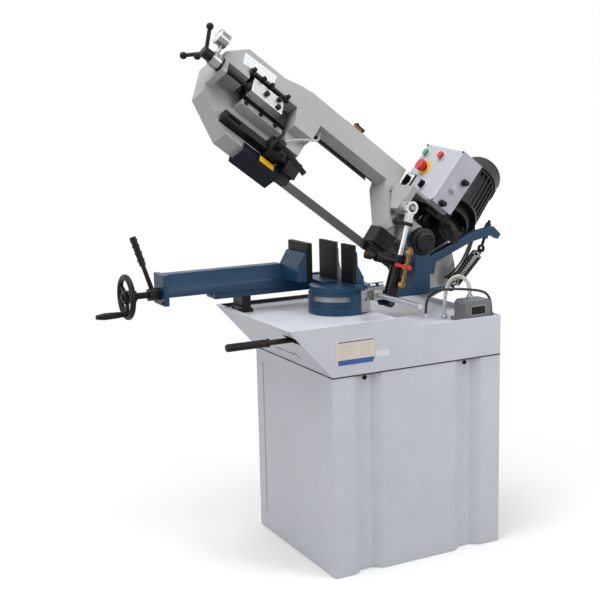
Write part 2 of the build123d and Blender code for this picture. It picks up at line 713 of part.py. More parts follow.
def fixed_jaw_plates():
    rear = JAW_FACE_Y + JAW_PLATE
    plates = []
    for limits, side in fixed_jaw_sides():
        plate = span(limits, (JAW_FACE_Y, rear), (WORK_Z, JAW_TOP_Z))
        if side < 0:
            plate -= mitre_relief(WORK_Z, JAW_TOP_Z, rear, side)
        plates.append(plate)
    return Compound(children=plates)


def fixed_jaw_blocks():
    """Gusseted castings behind the jaw plates, cut away for the blade at full mitre."""
    front = JAW_FACE_Y + JAW_PLATE
    rear = front + JAW_BLOCK
    crest = JAW_TOP_Z - GUSSET_TOP[1]
    outline = [(front, WORK_Z), (rear, WORK_Z), (rear, WORK_Z + GUSSET_HEEL),
               (front + GUSSET_NECK[0], WORK_Z + GUSSET_NECK[1]), (front + GUSSET_TOP[0], crest),
               (front, crest)]
    blocks = []
    for (left, right), side in fixed_jaw_sides():
        block = profile_x(outline, left + JAW_INSET, right - (JAW_INSET if side > 0 else 0))
        if side < 0:
            block -= mitre_relief(WORK_Z, JAW_TOP_Z, rear, side)
        blocks.append(block)
    return Compound(children=blocks)


def jaw_face():
    return JAW_FACE_Y - JAW_OPENING


def moving_jaw_plate():
    left = MOVING_JAW_RIGHT_X - MOVING_JAW_WIDTH
    depth = (jaw_face() - MOVING_PLATE, jaw_face())
    return span((left, MOVING_JAW_RIGHT_X), depth, (WORK_Z + MOVING_PLATE_LIFT, JAW_TOP_Z))


def moving_jaw_head():
    """Jaw head that leans back to the slide's ridge."""
    rear = jaw_face() - MOVING_PLATE
    front = rear - MOVING_BLOCK
    left = MOVING_JAW_RIGHT_X - MOVING_JAW_WIDTH
    foot = WORK_Z + SLIDING_FIT
    top = JAW_TOP_Z - JAW_HEAD_DROP
    outline = [(rear, foot), (rear, top), (rear - JAW_HEAD_LEDGE, top), (front, SLIDE_RIDGE_Z), (front, foot)]
    return profile_x(outline, left + JAW_INSET, MOVING_JAW_RIGHT_X - JAW_INSET)


def slide_section(half, skirt, eave, ridge, top):
    """Outline across the slide, even about the vise's axis: skirt, eave and ridge."""
    right = [(VISE_X + half, skirt), (VISE_X + half, eave), (VISE_X + ridge, top)]
    return right + [(2 * VISE_X - x, z) for x, z in reversed(right)]


def vise_slide_body():
    """Ridged cover that straddles the bed, closed in front by its end plate."""
    half, ridge = SLIDE_WIDTH / 2, SLIDE_RIDGE_WIDTH / 2
    rear = jaw_face() - MOVING_PLATE - MOVING_BLOCK
    outer = slide_section(half, SLIDE_SKIRT_Z, SLIDE_EAVE_Z, ridge, SLIDE_RIDGE_Z)
    body = profile_y(outer, SLIDE_FRONT_Y, rear)
    clear = BED_WIDTH / 2 + SLIDING_FIT
    top = WORK_Z + SLIDING_FIT
    inset, roof = SLIDE_ROOF
    hollow = slide_section(clear, SLIDE_SKIRT_Z, top, ridge - inset, SLIDE_RIDGE_Z - roof)
    body -= profile_y(hollow, SLIDE_FRONT_Y, rear - SLIDE_SHOE)
    body -= span((VISE_X - clear, VISE_X + clear), (rear - SLIDE_SHOE, rear), (SLIDE_SKIRT_Z, top))
    front = SLIDE_FRONT_Y - END_PLATE
    plate = span((VISE_X - half, VISE_X + half), (front, SLIDE_FRONT_Y), (END_PLATE_BOTTOM_Z, SLIDE_RIDGE_Z))
    plate -= rod_y(front, SLIDE_FRONT_Y, VISE_X, SCREW_Z, SCREW_RADIUS + RUNNING_FIT)
    return body + plate + moving_jaw_head()


def vise_screw():
    """Screw from the handwheel to past the nut, with a thrust collar behind the end plate."""
    shaft = rod_y(HANDWHEEL_Y - SCREW_PROUD, SCREW_TIP_Y, VISE_X, SCREW_Z, SCREW_RADIUS)
    inner = SLIDE_FRONT_Y + SLIDING_FIT
    return shaft + rod_y(inner, inner + COLLAR_LENGTH, VISE_X, SCREW_Z, SCREW_RADIUS + COLLAR_WALL)


def turned(points, plane):
    """Solid turned about the z axis of a plane from radius and height pairs."""
    section = make_face(Polyline(*[(r, 0, h) for r, h in points], close=True))
    return plane * revolve(section, axis=Axis.Z)


def vise_handwheel():
    """Dished wheel with a rounded rim, three windows in its web and the crank's spindle."""
    frame = Plane(origin=(VISE_X, HANDWHEEL_Y, SCREW_Z), x_dir=(1, 0, 0), z_dir=(0, -1, 0))
    rim, edge = HANDWHEEL_RADIUS, HANDWHEEL_RIM
    bore = SCREW_RADIUS + RUNNING_FIT
    proud, back = HANDWHEEL_HUB
    outline = [(bore, proud), (17, proud), (20, 9), (20, -2), (rim - 2 * edge, 2), (rim - 1.5 * edge, 7),
               (rim - edge, 9), (rim - 3, 6), (rim, 0), (rim - 3, -6), (rim - edge, -9),
               (rim - 1.5 * edge, -7), (rim - 2 * edge, -5), (22, -11), (20, back), (bore, back)]
    wheel = turned(outline, frame)
    reach, radius = HANDWHEEL_WINDOW
    for turn in range(HANDWHEEL_WINDOWS):
        window = Pos(reach, 0, 0) * Cylinder(radius, 2 * abs(back))
        wheel -= frame * (Rot(0, 0, 360 / HANDWHEEL_WINDOWS * turn + 30) * window)
    boss_z = SCREW_Z - CRANK_RADIUS
    face = HANDWHEEL_Y - proud
    wheel += rod_y(face, HANDWHEEL_Y + 2, VISE_X, boss_z, CRANK_BOSS_RADIUS)
    return wheel + rod_y(face - CRANK_LENGTH, HANDWHEEL_Y - 4, VISE_X, boss_z, CRANK_SPINDLE_RADIUS)


def handwheel_grip():
    """Turned crank grip that spins on its spindle."""
    length = CRANK_LENGTH - 2
    bulge = CRANK_GRIP_RADIUS
    bore = CRANK_SPINDLE_RADIUS + RUNNING_FIT
    points = [(bore, 0), (bulge - 3, 0), (bulge - 1, length * 0.25), (bulge, length * 0.7),
              (bulge - 4, length), (bore, length)]
    start = (VISE_X, HANDWHEEL_Y - HANDWHEEL_HUB[0] - SLIDING_FIT, SCREW_Z - CRANK_RADIUS)
    return turned(points, Plane(origin=start, x_dir=(1, 0, 0), z_dir=(0, -1, 0)))


def clamp_lever_tip():
    forward, left = math.radians(CLAMP_LEVER_FORWARD), math.radians(CLAMP_LEVER_LEFT)
    return (-math.sin(left), -math.sin(forward), math.cos(left) * math.cos(forward))


def clamp_barrel_ends():
    rear = SLIDE_FRONT_Y - END_PLATE - SLIDING_FIT
    return rear - CLAMP_BARREL_LENGTH, rear


def quick_clamp_lever():
    """Barrel cam on the screw, with a stem that ends in a notched grip."""
    front, rear = clamp_barrel_ends()
    barrel = rod_y(front, rear, VISE_X, SCREW_Z, CLAMP_BARREL_RADIUS)
    barrel -= rod_y(front, rear, VISE_X, SCREW_Z, SCREW_RADIUS + RUNNING_FIT)
    start = Vector(VISE_X, (front + rear) / 2, SCREW_Z)
    way = Vector(*clamp_lever_tip()).normalized()
    stem_from = start + way * (CLAMP_BARREL_RADIUS - 4)
    grip_from = start + way * (CLAMP_LEVER_LENGTH * CLAMP_GRIP_SHARE)
    grip_to = start + way * CLAMP_LEVER_LENGTH
    lever = barrel + rod(tuple(stem_from), tuple(grip_from), CLAMP_STEM_RADIUS)
    lever += rod(tuple(grip_from), tuple(grip_to), CLAMP_GRIP_RADIUS)
    for share in CLAMP_RINGS:
        place = start + way * (CLAMP_LEVER_LENGTH * share)
        lever += Plane(origin=tuple(place), z_dir=way) * Cylinder(*CLAMP_RING)
    return lever


def stop_rod():
    return rod_x(STOP_ROD_START_X, STOP_ROD_END_X, STOP_ROD_Y, STOP_ROD_Z, STOP_ROD_RADIUS)


def length_stop():
    """Angle plate that slides along the stop rod."""
    y, z = STOP_ROD_Y, STOP_ROD_Z
    half, wall = STOP_BLOCK
    sides = (STOP_X - half, STOP_X + half)
    block = span(sides, (y - wall, y + wall), (z - wall, z + wall))
    block -= rod_x(*sides, y, z, STOP_ROD_RADIUS + RUNNING_FIT)
    leaf = (sides[0], sides[0] + STOP_PLATE)
    plate = span(leaf, (y - STOP_PLATE_REACH, y - wall), (z + STOP_PLATE_Z[0], z + STOP_PLATE_Z[1]))
    hole_y, hole_z, radius = STOP_PLATE_HOLE
    plate -= rod_x(*leaf, y + hole_y, z + hole_z, radius)
    stem = rod((STOP_X, y, z + wall), (STOP_X, y, z + STOP_KNOB[0]), STOP_KNOB[1])
    rise, reach, thick = STOP_BAR
    return block + plate + stem + rod((STOP_X, y - reach, z + rise), (STOP_X, y + reach, z + rise), thick)


def lock_lever():
    """Flat eye on the tray's stud, round bar and sleeve grip."""
    radius, half = LOCK_EYE
    eye = rod((LOCK_X, LOCK_PIVOT_Y, LOCK_Z - half), (LOCK_X, LOCK_PIVOT_Y, LOCK_Z + half), radius)
    bar = rod_y(LOCK_GRIP_START_Y, LOCK_PIVOT_Y - half, LOCK_X, LOCK_Z, LOCK_BAR_RADIUS)
    grip = rod_y(LOCK_GRIP_END_Y, LOCK_GRIP_START_Y, LOCK_X, LOCK_Z, LOCK_GRIP_RADIUS)
    bore = LOCK_STUD + RUNNING_FIT
    stud = rod((LOCK_X, LOCK_PIVOT_Y, LOCK_Z - 2 * half), (LOCK_X, LOCK_PIVOT_Y, LOCK_Z + 2 * half), bore)
    return eye + bar + grip - stud


# Coolant


def coolant_pump():
    """Pump head over the tank, with its outlet stub and cable gland."""
    floor = TRAY_REAR_FLOOR_Z
    low, high = floor + PUMP_FLANGE, floor + PUMP_HEIGHT
    base = span(PUMP_X, PUMP_Y, (floor, low))
    front, rear = PUMP_HOOD_Y
    run, drop = PUMP_FRONT_BEVEL
    rear_run, rear_drop = PUMP_REAR_BEVEL
    outline = [(front, low), (rear, low), (rear, high - rear_drop), (rear - rear_run, high),
               (front + run, high), (front, high - drop)]
    hood = profile_x(outline, PUMP_X[0] + PUMP_EDGE, PUMP_X[1] - PUMP_EDGE / 2)
    outlet = disc(*PUMP_OUTLET, HOSE_RADIUS + STUB_WALL, high - STUB_SEAT, high + PUMP_STUB)
    return base + hood + outlet + disc(*PUMP_GLAND, CABLE_RADIUS + GLAND_WALL, low, low + PUMP_STUB)


def coolant_tank():
    """Plastic tank on the stand's floor flange."""
    wall = TANK_WALL
    block = span(TANK_X, TANK_Y, (SHEET, TANK_TOP_Z))
    inside = [(low + wall, high - wall) for low, high in (TANK_X, TANK_Y)]
    return block - span(*inside, (SHEET + wall, TANK_TOP_Z))


# Swivel arm and column


def spring_eye(place):
    """Ring across the spring that one of its hooks goes through."""
    ring = Cylinder(EYE_RADIUS, EYE_THICK) - Cylinder(EYE_HOLE, EYE_THICK)
    return Plane(origin=place, z_dir=spring_frame().x_dir) * ring


def column_body():
    """Column with the pivot's boss, thinner towards its top."""
    rear = PIVOT_Y + COLUMN_BOSS_RADIUS
    outline = [(COLUMN_FRONT_Y - 22, RING_TOP_Z), (COLUMN_REAR_Y, RING_TOP_Z), (COLUMN_REAR_Y, PIVOT_Z - 60),
               (rear, PIVOT_Z), (PIVOT_Y - COLUMN_BOSS_RADIUS + 8, PIVOT_Z), (COLUMN_FRONT_Y, PIVOT_Z - 50),
               (COLUMN_FRONT_Y - 4, RING_TOP_Z + 40)]
    boss = rod_x(COLUMN_LEFT_X, COLUMN_RIGHT_X, PIVOT_Y, PIVOT_Z, COLUMN_BOSS_RADIUS)
    return profile_x(outline, COLUMN_LEFT_X, COLUMN_RIGHT_X) + boss


def damper_lug():
    """Lug beside the arm with the pin of the damper's foot."""
    y, z = DAMPER_FOOT
    outline = [(y - 18, z), (y - 12, z - 13), (y + 12, z - 13), (y + 24, RING_TOP_Z), (y - 24, RING_TOP_Z)]
    lug = profile_x(outline, COLUMN_RIGHT_X - 14, COLUMN_RIGHT_X)
    return lug + rod_x(COLUMN_RIGHT_X - 6, DAMPER_X + 20, y, z, DAMPER_PIN_RADIUS)


def swivel_arm():
    """Ring on the mitre post, arm to the rear and column with the bow's pivot bore."""
    low = PEDESTAL_TOP_Z + SLIDING_FIT
    ring = disc(0, MITRE_Y, PEDESTAL_RADIUS, low, RING_TOP_Z)
    plan = [(-20, MITRE_Y + 60), (70, MITRE_Y + 40), (COLUMN_RIGHT_X, -50), (COLUMN_RIGHT_X, COLUMN_REAR_Y),
            (COLUMN_LEFT_X, COLUMN_REAR_Y), (COLUMN_LEFT_X, 60), (-20, -20)]
    body = ring + slab(plan, low, RING_TOP_Z) + column_body()
    body -= disc(0, MITRE_Y, POST_RADIUS + RUNNING_FIT, low, RING_TOP_Z)
    body -= rod_x(COLUMN_LEFT_X, COLUMN_RIGHT_X, PIVOT_Y, PIVOT_Z, PIVOT_SHAFT_RADIUS + RUNNING_FIT)
    x, y, z = SPRING_FOOT
    anchor = rod_y(COLUMN_REAR_Y - 4, y, x, z, ANCHOR_ROD_RADIUS)
    anchor -= rod_x(x - EYE_THICK, x + EYE_THICK, y, z, EYE_HOLE)
    return body + damper_lug() + anchor + spring_eye(SPRING_FOOT)


def pivot_shaft():
    """Hardened pin clamped in the column, with a washer and nut outside."""
    shaft = rod_x(BOSS_LEFT_X - 4, COLUMN_RIGHT_X + 14, PIVOT_Y, PIVOT_Z, PIVOT_SHAFT_RADIUS)
    radius, thick = PIVOT_WASHER
    seat = COLUMN_RIGHT_X + thick
    washer = rod_x(COLUMN_RIGHT_X, seat, PIVOT_Y, PIVOT_Z, radius)
    corner, height = PIVOT_NUT
    nut = extrude(RegularPolygon(corner, 6), amount=height)
    return shaft + washer + Plane(origin=(seat, PIVOT_Y, PIVOT_Z), z_dir=(1, 0, 0)) * nut


def damper_frame():
    """Frame at the damper's foot whose z runs up the damper."""
    (y0, z0), (y1, z1) = DAMPER_FOOT, DAMPER_HEAD
    return Plane(origin=(DAMPER_X, y0, z0), x_dir=(1, 0, 0), z_dir=(0, y1 - y0, z1 - z0))


def damper_length():
    (y0, z0), (y1, z1) = DAMPER_FOOT, DAMPER_HEAD
    return math.hypot(y1 - y0, z1 - z0)


def damper_cylinder():
    """Hydraulic barrel with its foot eye, and the body of the feed valve reaching forward from its head."""
    eye = Plane.YZ * Cylinder(*DAMPER_EYE)
    barrel = disc(0, 0, DAMPER_RADIUS, DAMPER_BARREL_START, DAMPER_BODY)
    wall, height = DAMPER_COLLAR
    collar = disc(0, 0, DAMPER_RADIUS + wall, DAMPER_BODY - height, DAMPER_BODY)
    valve = rod((0, 0, FEED_VALVE), (0, -FEED_VALVE_REACH, FEED_VALVE), FEED_VALVE_RADIUS)
    body = eye + barrel + collar + valve
    body -= Plane.YZ * Cylinder(DAMPER_PIN_RADIUS + RUNNING_FIT, 2 * DAMPER_EYE[1])
    body -= disc(0, 0, DAMPER_ROD_RADIUS + RUNNING_FIT, DAMPER_BORE_START, DAMPER_BODY + DAMPER_BORE_START)
    return damper_frame() * body


def feed_knob():
    """Knob that sets how fast the bow comes down."""
    start = -FEED_VALVE_REACH - SLIDING_FIT
    end = start - FEED_KNOB
    knob = rod((0, start, FEED_VALVE), (0, end, FEED_VALVE), FEED_KNOB_RADIUS)
    reach, radius = FEED_KNOB_FLUTE
    for turn in range(FEED_KNOB_FLUTES):
        angle = 2 * math.pi * turn / FEED_KNOB_FLUTES
        x, z = reach * math.cos(angle), reach * math.sin(angle) + FEED_VALVE
        knob -= rod((x, start, z), (x, end, z), radius)
    return damper_frame() * knob


def damper_valve():
    """Brass stop cock piped beside the barrel."""
    low, high = VALVE_ENDS
    half = VALVE_UNION_HALF
    pipe = disc(VALVE_X, VALVE_Y, VALVE_PIPE_RADIUS, low, high)
    unions = ((low, VALVE_UNION_RADIUS), (VALVE_TAP, VALVE_BODY_RADIUS), (high - 14, VALVE_UNION_RADIUS))
    for height, radius in unions:
        pipe += disc(VALVE_X, VALVE_Y, radius, height - half, height + half)
    reach, thick = VALVE_STEM
    pipe += rod((VALVE_X, VALVE_Y, VALVE_TAP), (VALVE_X + reach, VALVE_Y, VALVE_TAP), thick)
    for height in VALVE_PORTS:
        port = rod((8, VALVE_Y, height), (VALVE_X, VALVE_Y, height), VALVE_PORT_RADIUS)
        pipe += port - disc(0, 0, DAMPER_RADIUS, height - half, height + half)
    return damper_frame() * pipe


def valve_handle():
    """Flat red handle on the stop cock's stem."""
    x = VALVE_X + VALVE_STEM[0]
    length, half = VALVE_HANDLE
    height, radius = VALVE_HUB
    hub = rod((x + SLIDING_FIT, VALVE_Y, VALVE_TAP), (x + height, VALVE_Y, VALVE_TAP), radius)
    thick = (x + SLIDING_FIT + 1, x + 4)
    lever = span(thick, (VALVE_Y - length, VALVE_Y), (VALVE_TAP - half, VALVE_TAP + half))
    return damper_frame() * (hub + lever)


def damper_rod():
    """Rod with a flat slotted head that the bow's pin works in."""
    top = damper_length()
    bar = disc(0, 0, DAMPER_ROD_RADIUS, DAMPER_ROD_START, top - 30)
    head = Pos(0, 0, top) * (Plane.YZ * Cylinder(DAMPER_SLOT_RADIUS + DAMPER_HEAD_WALL, DAMPER_HEAD_THICK))
    half = DAMPER_HEAD_THICK / 2
    head += span((-half, half), (-11, 11), (top - 48, top))
    head -= Pos(0, 0, top) * (Plane.YZ * Cylinder(DAMPER_SLOT_RADIUS, 2 * DAMPER_HEAD_THICK))
    return damper_frame() * (bar + head)


def biarc_path(points, tangents):
    """Smooth path of arc pairs through points with given directions."""
    arcs = []
    for p0, p1, t0, t1 in zip(points, points[1:], tangents, tangents[1:]):
        chord = p1 - p0
        both = t0 + t1
        bend = 2 * (1 - t0.dot(t1))
        reach = chord.dot(both)
        d = (math.sqrt(reach * reach + bend * chord.dot(chord)) - reach) / bend
        first, second = p0 + t0 * d, p1 - t1 * d
        joint = (first + second) * 0.5
        arcs.append(TangentArc(p0, joint, tangent=t0))
        arcs.append(TangentArc(joint, p1, tangent=(second - first).normalized()))
    return arcs


def spring_frame():
    """Frame at the spring's lower eye whose z runs up the spring and x across the machine."""
    line = Vector(*SPRING_TOP) - Vector(*SPRING_FOOT)
    back = line.cross(Vector(1, 0, 0))
    return Plane(origin=SPRING_FOOT, x_dir=back.cross(line), z_dir=line)


def hook_points(end):
    """Corners of a hook: through the eye's hole, up beside the eye and near to the first coil."""
    bar = EYE_HOLE - SPRING_WIRE_RADIUS - RUNNING_FIT
    reach = EYE_THICK / 2 + 2 * SPRING_WIRE_RADIUS + 1
    inset = reach - HOOK_BEND
    return [Vector(-inset, 0, bar), Vector(inset, 0, bar), Vector(reach, 0, bar + HOOK_BEND),
            Vector(reach, 0, end - HOOK_RISE)]


def coil_points(start, pitch):
    """Places and directions every quarter turn of the coil."""
    points, tangents = [], []
    rise = pitch / (2 * math.pi)
    for step in range(4 * SPRING_TURNS + 1):
        across, along = math.cos(math.pi / 2 * step), math.sin(math.pi / 2 * step)
        height = start + pitch * step / 4
        points.append(Vector(SPRING_COIL_RADIUS * across, SPRING_COIL_RADIUS * along, height))
        tangents.append(Vector(-SPRING_COIL_RADIUS * along, SPRING_COIL_RADIUS * across, rise).normalized())
    return points, tangents


def counter_spring():
    """Open wound extension spring, one wire from hook to hook."""
    length = (Vector(*SPRING_TOP) - Vector(*SPRING_FOOT)).length
    start = (length - SPRING_COIL_LENGTH) / 2
    pitch = SPRING_COIL_LENGTH / SPRING_TURNS
    points, tangents = coil_points(start, pitch)
    print("spring least gap between turns", round(pitch - 2 * SPRING_WIRE_RADIUS, 2))
    across, up = Vector(1, 0, 0), Vector(0, 0, 1)
    tip, corner, side, top = hook_points(start)
    edges = [Line(tip, corner), TangentArc(corner, side, tangent=across), Line(side, top)]
    edges += biarc_path([top] + points, [up] + tangents)
    tip, corner, side, top = [Vector(p.X, -p.Y, length - p.Z) for p in (tip, corner, side, top)]
    edges += biarc_path([points[-1], top], [tangents[-1], up])
    edges += [Line(top, side), TangentArc(side, corner, tangent=up), Line(corner, tip)]
    path = Wire(edges)
    section = Plane(origin=path @ 0, z_dir=path % 0) * RegularPolygon(SPRING_WIRE_RADIUS, SPRING_SIDES)
    return spring_frame() * sweep(section, path=path, clean=False)


# Bow


def bow_arm():
    """Channel shaped arm: near skin and two flanges, open behind."""
    outline = [(ARM_REAR_U, ARM_TOP_Y), (ARM_FRONT_U, ARM_TOP_Y), (ARM_FRONT_U, ARM_LOW_Y),
               (LEG_FACE_REAR_U, ARM_LOW_Y)]
    arm = slab(outline, ARM_FAR_Z, ARM_NEAR_Z)
    across = (ARM_TOP_Y + ARM_SKIN, ARM_LOW_Y - ARM_SKIN)
    return arm - span((LEG_FRONT_U + 40, ARM_HOLLOW_U), across, (ARM_FAR_Z, ARM_NEAR_Z - ARM_SKIN))


def tension_box():
    """Raised box on the front pan, open towards the blade where the tension slide lies."""
    wall, step = BOX_NOSE
    nose, face = BOX_FRONT_U - step, BOX_FRONT_U - wall
    rear, front = BAY_U
    bay = SLIDE_Y[0] - RAIL_WIDTH
    outline = [(480, ARM_TOP_Y), (494, -334), (540, -325), (609, BOX_CROWN_Y), (755, BOX_CROWN_Y),
               (nose, -208), (nose, -122), (face, -122), (face, -172), (front, -172), (front, bay),
               (rear, bay), (rear, -130), (470, -130), (446, ARM_LOW_Y)]
    shoulder = [(rear, -130), (rear, -66), (488, -66), (478, -100), (470, -130)]
    return slab(outline, PAN_NEAR_Z, ARM_NEAR_Z) + slab(shoulder, PAN_NEAR_Z, ARM_FAR_Z + 4)


def front_housing():
    """Octagonal wheel pan with the raised tension box on its near face."""
    body = octagon(IDLER_U, PAN_RADIUS, PAN_FAR_Z, PAN_NEAR_Z)
    body -= octagon(IDLER_U, PAN_RADIUS - PAN_WALL, PAN_FAR_Z, PAN_NEAR_Z - PAN_PLATE)
    body += tension_box()
    for y in (SLIDE_Y[0] - RAIL_WIDTH, SLIDE_Y[1] + SLIDING_FIT):
        body += span(SLIDE_U, (y, y + RAIL_WIDTH), (PAN_NEAR_Z, SLIDE_Z[0] + RAIL_RISE))
    body -= span((IDLER_U - 40, IDLER_U + 30), (WHEEL_Y - 22, WHEEL_Y + 22), (0, PAN_NEAR_Z))
    bore = SPINDLE_RADIUS + RUNNING_FIT
    return body - rod((SPINDLE_BORE_U, SPINDLE_Y, SPINDLE_Z), (BOX_FRONT_U, SPINDLE_Y, SPINDLE_Z), bore)


def leg_outline(rear_u):
    run, rise = LEG_TOE
    return [(LEG_FRONT_U, ARM_LOW_Y), (LEG_FRONT_U - run, LEG_LOW_Y - rise),
            (LEG_FRONT_U - LEG_TOE_END, LEG_LOW_Y), (rear_u, LEG_LOW_Y), (rear_u, ARM_LOW_Y)]


def rear_housing():
    """Round wheel pan with the stepped leg that carries the arm."""
    pan = disc(DRIVE_U, WHEEL_Y, REAR_PAN_RADIUS, PAN_FAR_Z, PAN_NEAR_Z)
    pan -= disc(DRIVE_U, WHEEL_Y, REAR_PAN_RADIUS - PAN_WALL, PAN_FAR_Z, PAN_NEAR_Z - PAN_PLATE)
    face = slab(leg_outline(LEG_FACE_REAR_U), ARM_FAR_Z, ARM_NEAR_Z)
    top, low = ARM_LOW_Y + LEG_POCKET_Y[0], LEG_LOW_Y - LEG_POCKET_Y[1]
    back = LEG_FACE_REAR_U + LEG_POCKET_REAR
    upper, lower = LEG_POCKET_FRONT
    pocket = [(LEG_FRONT_U - upper, top), (LEG_FRONT_U - lower, low), (back, low), (back, top)]
    face -= slab(pocket, ARM_NEAR_Z - LEG_POCKET_DEPTH, ARM_NEAR_Z)
    base = slab(leg_outline(LEG_REAR_U), PAN_NEAR_Z, ARM_FAR_Z)
    crown = [(LEG_REAR_U, ARM_LOW_Y), (LEG_REAR_U, ARM_TOP_Y), (LEG_FRONT_U - 20, ARM_TOP_Y),
             (LEG_FRONT_U, ARM_LOW_Y)]
    head = slab(crown, PAN_NEAR_Z, ARM_FAR_Z)
    lap = LEG_REAR_U + LEG_FOOT_LAP
    sole = [(0, LEG_FOOT_TOP_Y), (lap, LEG_FOOT_TOP_Y), (lap, LEG_LOW_Y - 30), (0, -60)]
    return pan + face + base + head + slab(sole, PAN_NEAR_Z - PAN_PLATE, PAN_NEAR_Z)


def control_frame():
    """Frame on the control box's lid: x across, y up, z out of the lid."""
    roll = math.radians(BOX_ROLL)
    centre = LIFT.from_local_coords((BOX_FRONT, BOX_CENTRE_X, BOX_CENTRE_H))
    across = [math.cos(roll) * x - math.sin(roll) * h for x, h in zip((1, 0, 0), OVER)]
    return Plane(origin=centre, x_dir=across, z_dir=ALONG)


def control_shelf():
    """Shelf under the control box with a rib down to the leg."""
    low = -BOX_TALL / 2
    left = SHELF_X[0]
    thick, drop, back = SHELF_RIB
    shelf = span(SHELF_X, (low - SHELF, low), (SHELF_BACK - BOX_DEPTH, SHELF_FRONT))
    rib = span((left, left + thick), (low - drop, low), (back, SHELF_FRONT))
    return control_frame() * (shelf + rib)


def pivot_boss():
    """Cross boss on the pivot shaft, bracket of the damper's upper pin and lug of the spring arm."""
    boss = rod((0, BOSS_LEFT_X, PIVOT_RISE), (0, BOSS_RIGHT_X, PIVOT_RISE), BOSS_RADIUS)
    web = span((0, LEG_REAR_U + 4), (BOSS_LEFT_X, BOSS_RIGHT_X - 6), (PIVOT_RISE - 30, PIVOT_RISE + 50))
    lug = span((DRIVE_U - 32, DRIVE_U + 24), (-60, SPRING_ARM_LEFT_X), (52, 82))
    pin_u, pin_h = head_pin()
    bracket = span((pin_u - 10, pin_u + 10), (-40, 64), (pin_h - 18, pin_h + 72))
    bracket += span((pin_u - 18, pin_u + 18), (20, 64), (pin_h - 18, pin_h + 18))
    pin = rod((pin_u, 50, pin_h), (pin_u, DAMPER_X + 14, pin_h), DAMPER_PIN_RADIUS)
    collar = rod((pin_u, 64, pin_h), (pin_u, DAMPER_X - 12, pin_h), 16)
    return boss + web + lug + bracket + pin + collar


def head_pin():
    """Place of the damper's upper pin along the bow and above the blade."""
    y, z = DAMPER_HEAD[0] - BOW_ORIGIN[1], DAMPER_HEAD[1] - BOW_ORIGIN[2]
    return y * ALONG[1] + z * ALONG[2], y * OVER[1] + z * OVER[2]


def blade_ways():
    """Room for the blade where it enters and leaves the pans."""
    wide = (PAN_FAR_Z, PAN_NEAR_Z - PAN_PLATE)
    under = (-BLADE_WAY, BLADE_WAY)
    over = (-WHEEL_DIAMETER - BLADE_WAY_OVER, -WHEEL_DIAMETER + BLADE_WAY_OVER)
    cut = span(FRONT_WAY_U, under, wide) + span(REAR_WAY_U, under, wide)
    return cut + span(FRONT_WAY_U, over, wide) + span(REAR_WAY_OVER_U, over, wide)


def bow_casting():
    """One piece casting: front wheel pan and tension box, arm, leg, rear wheel pan and pivot boss."""
    leaning = front_housing() + bow_arm() + rear_housing() - blade_ways()
    leaning -= disc(DRIVE_U, WHEEL_Y, SHAFT_ROOM_RADIUS, PAN_FAR_Z, PAN_NEAR_Z)
    body = BOW * leaning + LIFT * pivot_boss() + (control_shelf() - control_box_room())
    body -= BOW * disc(DRIVE_U, WHEEL_Y, REAR_PAN_RADIUS - PAN_WALL, PAN_FAR_Z - 90, PAN_NEAR_Z - PAN_PLATE)
    left, right = BOSS_LEFT_X - OVERCUT, BOSS_RIGHT_X + OVERCUT
    bore = PIVOT_SHAFT_RADIUS + RUNNING_FIT
    return body - LIFT * rod((0, left, PIVOT_RISE), (0, right, PIVOT_RISE), bore)


def wheel_covers():
    """Flat sheet lids on both pans, and the channel over the blade's upper run."""
    front = octagon(IDLER_U, PAN_RADIUS, PAN_FAR_Z - COVER_SHEET, PAN_FAR_Z)
    rear = disc(DRIVE_U, WHEEL_Y, REAR_PAN_RADIUS, PAN_FAR_Z - COVER_SHEET, PAN_FAR_Z)
    top = ARM_TOP_Y + 2
    fold = CHANNEL_FAR_Z + COVER_SHEET
    channel = span(CHANNEL_U, (top, top + COVER_SHEET), (fold, ARM_FAR_Z))
    channel += span(CHANNEL_U, (top, top + CHANNEL_FOLD), (CHANNEL_FAR_Z, fold))
    return Compound(children=[BOW * front, BOW * rear, BOW * channel])


def spoked_wheel(radius, bore):
    """Cast band wheel: rim, web with round lightening holes, and hub."""
    half, web = WHEEL_WIDTH / 2, WHEEL_WEB_HALF
    wheel = Cylinder(radius, WHEEL_WIDTH)
    for side in (-1, 1):
        ring = Cylinder(radius - WHEEL_RIM, half - web) - Cylinder(WHEEL_HUB_RADIUS, half - web)
        wheel -= Pos(0, 0, side * (half + web) / 2) * ring
    for turn in range(WHEEL_HOLES):
        hole = Pos(radius * WHEEL_HOLE_SHARE, 0, 0) * Cylinder(WHEEL_HOLE_RADIUS, WHEEL_WIDTH)
        wheel -= Rot(0, 0, 360 / WHEEL_HOLES * turn) * hole
    return wheel - Cylinder(bore, WHEEL_WIDTH)


def wheel_radius():
    return WHEEL_DIAMETER / 2 - BLADE_THICKNESS / 2 - BLADE_GAP


def idler_wheel():
    return BOW * Pos(IDLER_U, WHEEL_Y, 0) * spoked_wheel(wheel_radius(), IDLER_SHAFT_RADIUS + RUNNING_FIT)


def drive_wheel():
    """Driven wheel with its shaft through the pan into the gearbox."""
    shaft = disc(0, 0, DRIVE_SHAFT_RADIUS, -WHEEL_WIDTH / 2, PAN_NEAR_Z + DRIVE_SHAFT_PROUD)
    wheel = spoked_wheel(wheel_radius(), DRIVE_SHAFT_RADIUS - 1)
    return BOW * Pos(DRIVE_U, WHEEL_Y, 0) * (wheel + shaft)


def blade_section(u, turn):
    """Cross section of the blade, turned from flat on the wheels towards upright."""
    place = Plane(origin=(u, 0, 0), x_dir=(0, math.cos(turn), math.sin(turn)), z_dir=(1, 0, 0))
    return place * Rectangle(BLADE_THICKNESS, BLADE_WIDTH)


